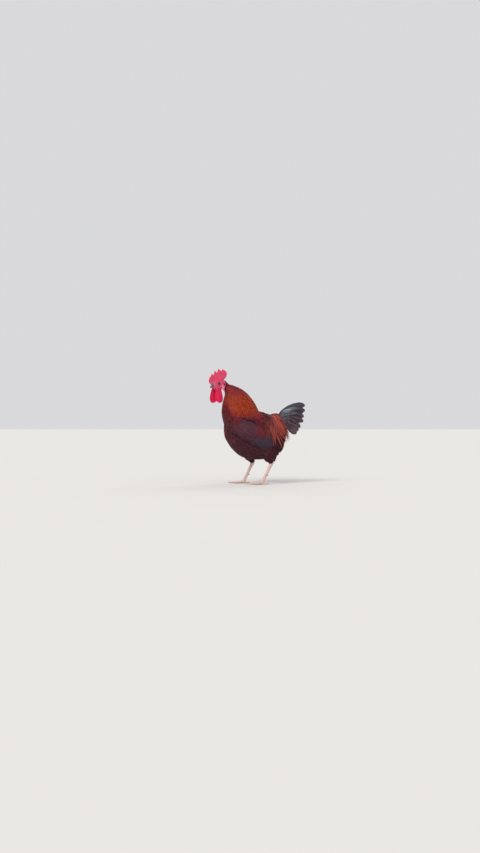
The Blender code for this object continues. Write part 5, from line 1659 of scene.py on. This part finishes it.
def flesh_finish():
    """Comb, face and wattles: pimpled, finely creased and slightly waxy, with painted shade at the lids'
    edges.
    """
    shades = colours()
    finish = Finish("red_flesh", specular_ior_level=0.28, subsurface_weight=0.10, subsurface_scale=0.002)
    comb, lobe, lid_shade = finish.field("flesh")
    wattle = finish.number("wattle")
    cells = finish.cells(1200.0)
    creases = finish.noise(300.0, 4.0)
    base = finish.mixed(shades.face, shades.comb, comb)
    base = finish.mixed(base, shades.wattle, wattle)
    base = finish.mixed(base, shades.lobe, lobe)
    base = finish.scaled(base, 0.88 + 0.20 * finish.noise(70.0, 2.0) - 0.08 * cells.between(0.30, 0.70))
    base = finish.mixed(base, shades.lobe, creases.between(0.55, 0.80) * (0.25 - 0.15 * wattle))
    # Painted shade along the lids' edges
    base = finish.mixed(base, finish.scaled(shades.wattle, 0.34), lid_shade * 0.9)
    bump = finish.bumped(creases, 0.0004)
    bump = finish.bumped(1.0 - cells.between(0.0, 0.7), 0.00013, bump)
    return finish.done(base_color=base, roughness=0.42 + 0.16 * creases - 0.06 * wattle, normal=bump)


def build_beak(place):
    """Both halves of the beak, with slit nostrils in the upper one."""
    shades = colours()
    finish = Finish("beak_horn", specular_ior_level=0.5)
    lines = finish.noise(240.0, 3.0)
    paler = finish.number("tip").between(0.2, 1.0)
    base = finish.mixed(finish.scaled(shades.beak, 0.62), finish.scaled(shades.beak, 1.45), paler)
    base = finish.scaled(base, 0.8 + 0.4 * lines)
    # Painted shade in the nostril's slit
    base = finish.mixed(base, NOSTRIL_SHADE, finish.number("nostril"))
    horn = finish.done(base_color=base, roughness=0.30 + 0.2 * lines, normal=finish.bumped(lines, 0.0002))
    for name, rows in (("beak_upper", UPPER_BEAK), ("beak_lower", LOWER_BEAK)):
        points, faces = joined([head_rings(rows, 40, 32, 0.0001)])
        x, forward, up = points[:, 0], -points[:, 1], points[:, 2]
        off = (np.stack([np.abs(x), forward, up], -1) - NOSTRIL_PLACE) / NOSTRIL_HALF_SIZES
        nostril = (1 - eased(np.linalg.norm(off, axis=1), 0.7, 1.15)) * (name == "beak_upper")
        points[:, 0] = x - np.sign(x) * nostril * NOSTRIL_DEPTH
        fields = {"tip": eased(forward, rows[0][0], rows[-1][0]), "nostril": nostril}
        mesh = new_mesh(f"{name}_horn", moved(points, place), faces, fields)
        add_piece(f"{name}_horn", mesh, horn, "horn", name)


def build_eyes(place):
    """Eyeballs with a fibrous iris round the pupil, and painted shade round their edge under the lids."""
    finish = Finish("eye_wet", coat_weight=0.15, coat_roughness=0.02, specular_ior_level=0.15)
    ring = finish.number("ring")
    iris = finish.scaled(colours().iris, 0.55 + 0.9 * finish.noise(1500.0, 2.0))
    base = finish.mixed(PUPIL, iris, ring.between(0.0019, 0.0023))
    # Painted shade round the eyeball's edge, under the lids
    base = finish.mixed(base, EYE_EDGE_SHADE, ring.between(0.0033, 0.0043))
    wet = finish.done(base_color=base, roughness=0.10)
    for word, side in SIDES.items():
        centre = np.array((side * EYE_PLACE[0], -EYE_PLACE[1], EYE_PLACE[2]))
        points, faces = joined([ball_rings(centre, (EYE_RADIUS,) * 3, 30, 40)])
        off = points - centre
        rings = {"ring": np.where(off[:, 0] * side > 0, np.hypot(off[:, 1], off[:, 2]), EYE_RADIUS)}
        mesh = new_mesh(f"eyeball_{word}", moved(points, place), faces, rings)
        add_piece(f"eyeball_{word}", mesh, wet, "eye", f"eye_{word}")


# Legs
def scute_pattern(points):
    """How far each point of the left leg is raised by its plates, and how deep in a groove it is."""
    y, z, half_depth, _ = rows_at(SHANK_SHAPE, np.linspace(0, 1, 120)).T
    shank = np.stack([np.full(120, LEG_X), y, z], -1)
    limbs = [(shank, half_depth, np.array((0.0, -0.9, 0.44)), SHANK_SCUTES)]
    limbs += [(*toe_line(turn, length, radius), scutes) for turn, length, radius, scutes in TOES]
    best = np.full(len(points), np.inf)
    raised, groove = np.zeros(len(points)), np.zeros(len(points))
    for centres, radii, front, scutes in limbs:
        apart = np.linalg.norm(points[:, None] - centres[None], axis=-1)
        near = apart.argmin(1)
        reach = apart[np.arange(len(points)), near] / radii[near]
        facing = eased(unit(points - centres[near]) @ front, 0.10, 0.45)
        in_plate = near / (len(centres) - 1) * scutes % 1.0
        plate = eased(in_plate, 0.0, 0.14) * (0.55 + 0.45 * in_plate)
        line = 1 - eased(np.minimum(in_plate, 1 - in_plate), 0.02, 0.12)
        closer = reach < best
        best = np.where(closer, reach, best)
        raised = np.where(closer, plate * facing, raised)
        groove = np.where(closer, line * facing, groove)
    return raised, groove


def leg_finish():
    """Leg scales: pale plates with grey seams, and fine round scales behind."""
    shades = colours()
    finish = Finish("leg_scales", specular_ior_level=0.4)
    cells = finish.cells(620.0, "DISTANCE_TO_EDGE")
    seams = (1.0 - cells.between(0.02, 0.14)) * (1.0 - finish.number("plates"))
    stain = finish.noise(90.0, 3.0)
    base = finish.mixed(shades.leg, shades.stain, stain.between(0.50, 0.75) * 0.45)
    base = finish.mixed(base, shades.groove, (finish.number("groove") * 0.75).most(seams * 0.55))
    base = finish.scaled(base, 0.84 + 0.26 * stain)
    bump = finish.bumped(cells.between(0.0, 0.16), 0.0003)
    return finish.done(base_color=base, roughness=0.48 + 0.15 * stain, normal=bump)


def horn_rings(start, ahead, length, radius, bend):
    """Rings of a curved horn whose tip bends down by this share of its length."""
    shares = np.linspace(0, 1, 14)
    centres = start + ahead * (length * shares)[:, None]
    centres[:, 2] -= bend * length * shares**2
    return tube_rings(centres, radius * (1 - 0.94 * shares**1.2), 16)


def build_legs():
    """Scaly shanks and toes, each as one skin, with claws and spurs."""
    scaly = leg_finish()
    finish = Finish("claw_horn", specular_ior_level=0.5)
    lines = finish.noise(400.0, 2.0)
    base = finish.scaled(colours().claw, 0.65 + 0.6 * lines)
    horn = finish.done(base_color=base, roughness=0.35 + 0.15 * lines, normal=finish.bumped(lines, 0.0001))
    for word, side in SIDES.items():
        shells = [limb_rings(SHANK_SHAPE, 40, 28), ball_rings(FOOT_PLACE, FOOT_HALF_SIZES)]
        shells += [tube_rings(*toe_line(turn, length, radius)[:2], 20) for turn, length, radius, _ in TOES]
        mesh = fused(f"leg_{word}", shells, LEG_VOXEL, 3)
        points = points_of(mesh)
        raised, groove = scute_pattern(points)
        points = points + normals_of(mesh) * (raised * SCUTE_HEIGHT)[:, None]
        set_field(mesh, "groove", groove)
        set_field(mesh, "plates", np.clip(raised * 2, 0, 1))
        add_leg_piece(f"leg_{word}", mesh, points, side, scaly, "leg_scale", f"shank_{word}", f"foot_{word}")
        claws = []
        for turn, length, _, _ in TOES:
            start = np.array((LEG_X, FOOT_Y, CLAW_Z)) + toe_ahead(turn) * (length - 0.003)
            claws.append(horn_rings(start, toe_ahead(turn), CLAW_LENGTH - 0.001, CLAW_RADIUS, 0.24))
        nodes = [f"claw_{toe}_{word}" for toe in ("inner", "middle", "outer", "hind")]
        add_horns(f"claws_{word}", claws, side, horn, nodes)
        y, z, half_depth, _ = rows_at(SHANK_SHAPE, np.array(SPUR_SHARE))
        ahead = np.array(Vector(SPUR_AHEAD).normalized())
        start = np.array((LEG_X, y, z)) + ahead * half_depth * 0.4
        spur = horn_rings(start, ahead, SPUR_LENGTH, SPUR_RADIUS, -0.15)
        add_horns(f"spur_horn_{word}", [spur], side, horn, [f"spur_{word}"])


def add_horns(name, shells, side, material, nodes):
    points, faces = joined(shells)
    add_leg_piece(name, new_mesh(name, points, faces), points, side, material, "horn", *nodes)


def add_leg_piece(name, mesh, points, side, material, slot, *nodes):
    """Puts a mesh of the left leg on this side, with these points, and nothing below the floor."""
    points[:, 2] = np.maximum(points[:, 2], 0.0)
    set_points(mesh, on_leg(points, side))
    if side == -1:
        mesh.flip_normals()
    add_piece(name, mesh, material, slot, *nodes)


# Stage
def sun_light(name, ahead, strength, softness, shade):
    """A distant light that shines this way, with shadows as soft as its angle."""
    lamp = bpy.data.lights.new(name, "SUN")
    lamp.energy = strength
    lamp.angle = math.radians(softness)
    lamp.color = shade
    linked(name, lamp).rotation_euler = Vector(ahead).to_track_quat("-Z", "Y").to_euler()


def build_stage():
    """Pale floor, soft light from above the camera's right, and the camera."""
    finish = Finish("pale_floor", specular_ior_level=0.1)
    shade = finish.scaled(colours().floor, 0.985 + 0.03 * finish.noise(3.0, 3.0))
    corners = np.array([(-1, -1, 0), (1, -1, 0), (1, 1, 0), (-1, 1, 0)], float) * FLOOR_HALF
    mesh = new_mesh("floor", corners - (0, 0, 0.0001), [[(0, 1, 2, 3)]])
    mesh.materials.append(finish.done(base_color=shade, roughness=0.9))
    linked("floor", mesh)
    world = bpy.data.worlds.new("studio")
    bpy.context.scene.world = world
    world.use_nodes = True
    sky = world.node_tree.nodes["Background"]
    sky.inputs["Color"].default_value = (*linear(240, 240, 242), 1.0)
    sky.inputs["Strength"].default_value = 0.80
    sun_light("key", (-0.62, 0.45, -0.75), 1.45, 25.0, (1.0, 0.98, 0.95))
    sun_light("rim", (0.55, -0.60, -0.60), 0.35, 30.0, (1.0, 1.0, 1.0))
    bpy.context.scene.view_settings.view_transform = "Standard"
    camera = bpy.data.cameras.new("camera")
    camera.sensor_width = SENSOR
    camera.lens = SENSOR * FOCAL_PIXELS / PICTURE_PIXELS
    holder = linked("camera", camera)
    holder.location = CAMERA_PLACE
    holder.rotation_euler = (math.radians(90), 0, math.radians(90))
    bpy.context.scene.camera = holder


class RoosterSkin(bpy.types.Operator):
    """Fuses the body, neck, thighs and wing roots into one skin"""

    bl_idname = "rooster.skin"
    bl_label = "Skin"

    def execute(self, context):
        build_skin()
        return {"FINISHED"}


class RoosterBodyFeathers(bpy.types.Operator):
    """Lays the small feathers of the breast, back, belly and thighs"""

    bl_idname = "rooster.body_feathers"
    bl_label = "Body feathers"

    def execute(self, context):
        build_body_feathers()
        build_vent_feathers()
        build_leg_feathers()
        return {"FINISHED"}


class RoosterWings(bpy.types.Operator):
    """Lays the tiers of both folded wings"""

    bl_idname = "rooster.wings"
    bl_label = "Wings"

    def execute(self, context):
        build_wings()
        return {"FINISHED"}


class RoosterTail(bpy.types.Operator):
    """Fans out the tail feathers, sickles and coverts"""

    bl_idname = "rooster.tail"
    bl_label = "Tail"

    def execute(self, context):
        build_tail()
        return {"FINISHED"}


class RoosterSaddle(bpy.types.Operator):
    """Hangs the saddle feathers from the back"""

    bl_idname = "rooster.saddle"
    bl_label = "Saddle"

    def execute(self, context):
        build_saddle()
        return {"FINISHED"}


class RoosterHackle(bpy.types.Operator):
    """Lays the hackle over the neck and shoulders"""

    bl_idname = "rooster.hackle"
    bl_label = "Hackle"

    def execute(self, context):
        build_hackle()
        return {"FINISHED"}


class RoosterHead(bpy.types.Operator):
    """Models the face, comb, wattles, earlobes, beak and eyes"""

    bl_idname = "rooster.head"
    bl_label = "Head"

    def execute(self, context):
        build_head()
        return {"FINISHED"}


class RoosterLegs(bpy.types.Operator):
    """Models the scaly legs, toes, claws and spurs"""

    bl_idname = "rooster.legs"
    bl_label = "Legs"

    def execute(self, context):
        build_legs()
        return {"FINISHED"}


class RoosterStage(bpy.types.Operator):
    """Sets the floor, lights and camera"""

    bl_idname = "rooster.stage"
    bl_label = "Stage"

    def execute(self, context):
        build_stage()
        return {"FINISHED"}


OPERATORS = (
    RoosterSkin, RoosterWings, RoosterBodyFeathers, RoosterTail, RoosterSaddle,
    RoosterHackle, RoosterHead, RoosterLegs, RoosterStage,
)


class ROOSTER_PT_panel(bpy.types.Panel):
    """Lists the rooster's sizes, colours and pieces"""

    bl_label = "Rooster"
    bl_idname = "ROOSTER_PT_panel"
    bl_space_type = "VIEW_3D"
    bl_region_type = "UI"
    bl_category = "Rooster"

    def draw(self, context):
        for group in (context.scene.rooster_sizes, context.scene.rooster_colours):
            box = self.layout.box()
            for name in group.__annotations__:
                box.prop(group, name)
        for operator in OPERATORS:
            self.layout.operator(operator.bl_idname)


CLASSES = (RoosterSizes, RoosterColours, *OPERATORS, ROOSTER_PT_panel)


def register():
    for kind in CLASSES:
        bpy.utils.register_class(kind)
    bpy.types.Scene.rooster_sizes = bpy.props.PointerProperty(type=RoosterSizes)
    bpy.types.Scene.rooster_colours = bpy.props.PointerProperty(type=RoosterColours)


def unregister():
    del bpy.types.Scene.rooster_colours
    del bpy.types.Scene.rooster_sizes
    for kind in reversed(CLASSES):
        bpy.utils.unregister_class(kind)


def main():
    register()
    bpy.ops.rooster.stage()
    bpy.ops.rooster.skin()
    bpy.ops.rooster.wings()
    bpy.ops.rooster.body_feathers()
    bpy.ops.rooster.tail()
    bpy.ops.rooster.saddle()
    bpy.ops.rooster.hackle()
    bpy.ops.rooster.head()
    bpy.ops.rooster.legs()


if __name__ == "__main__":
    main()
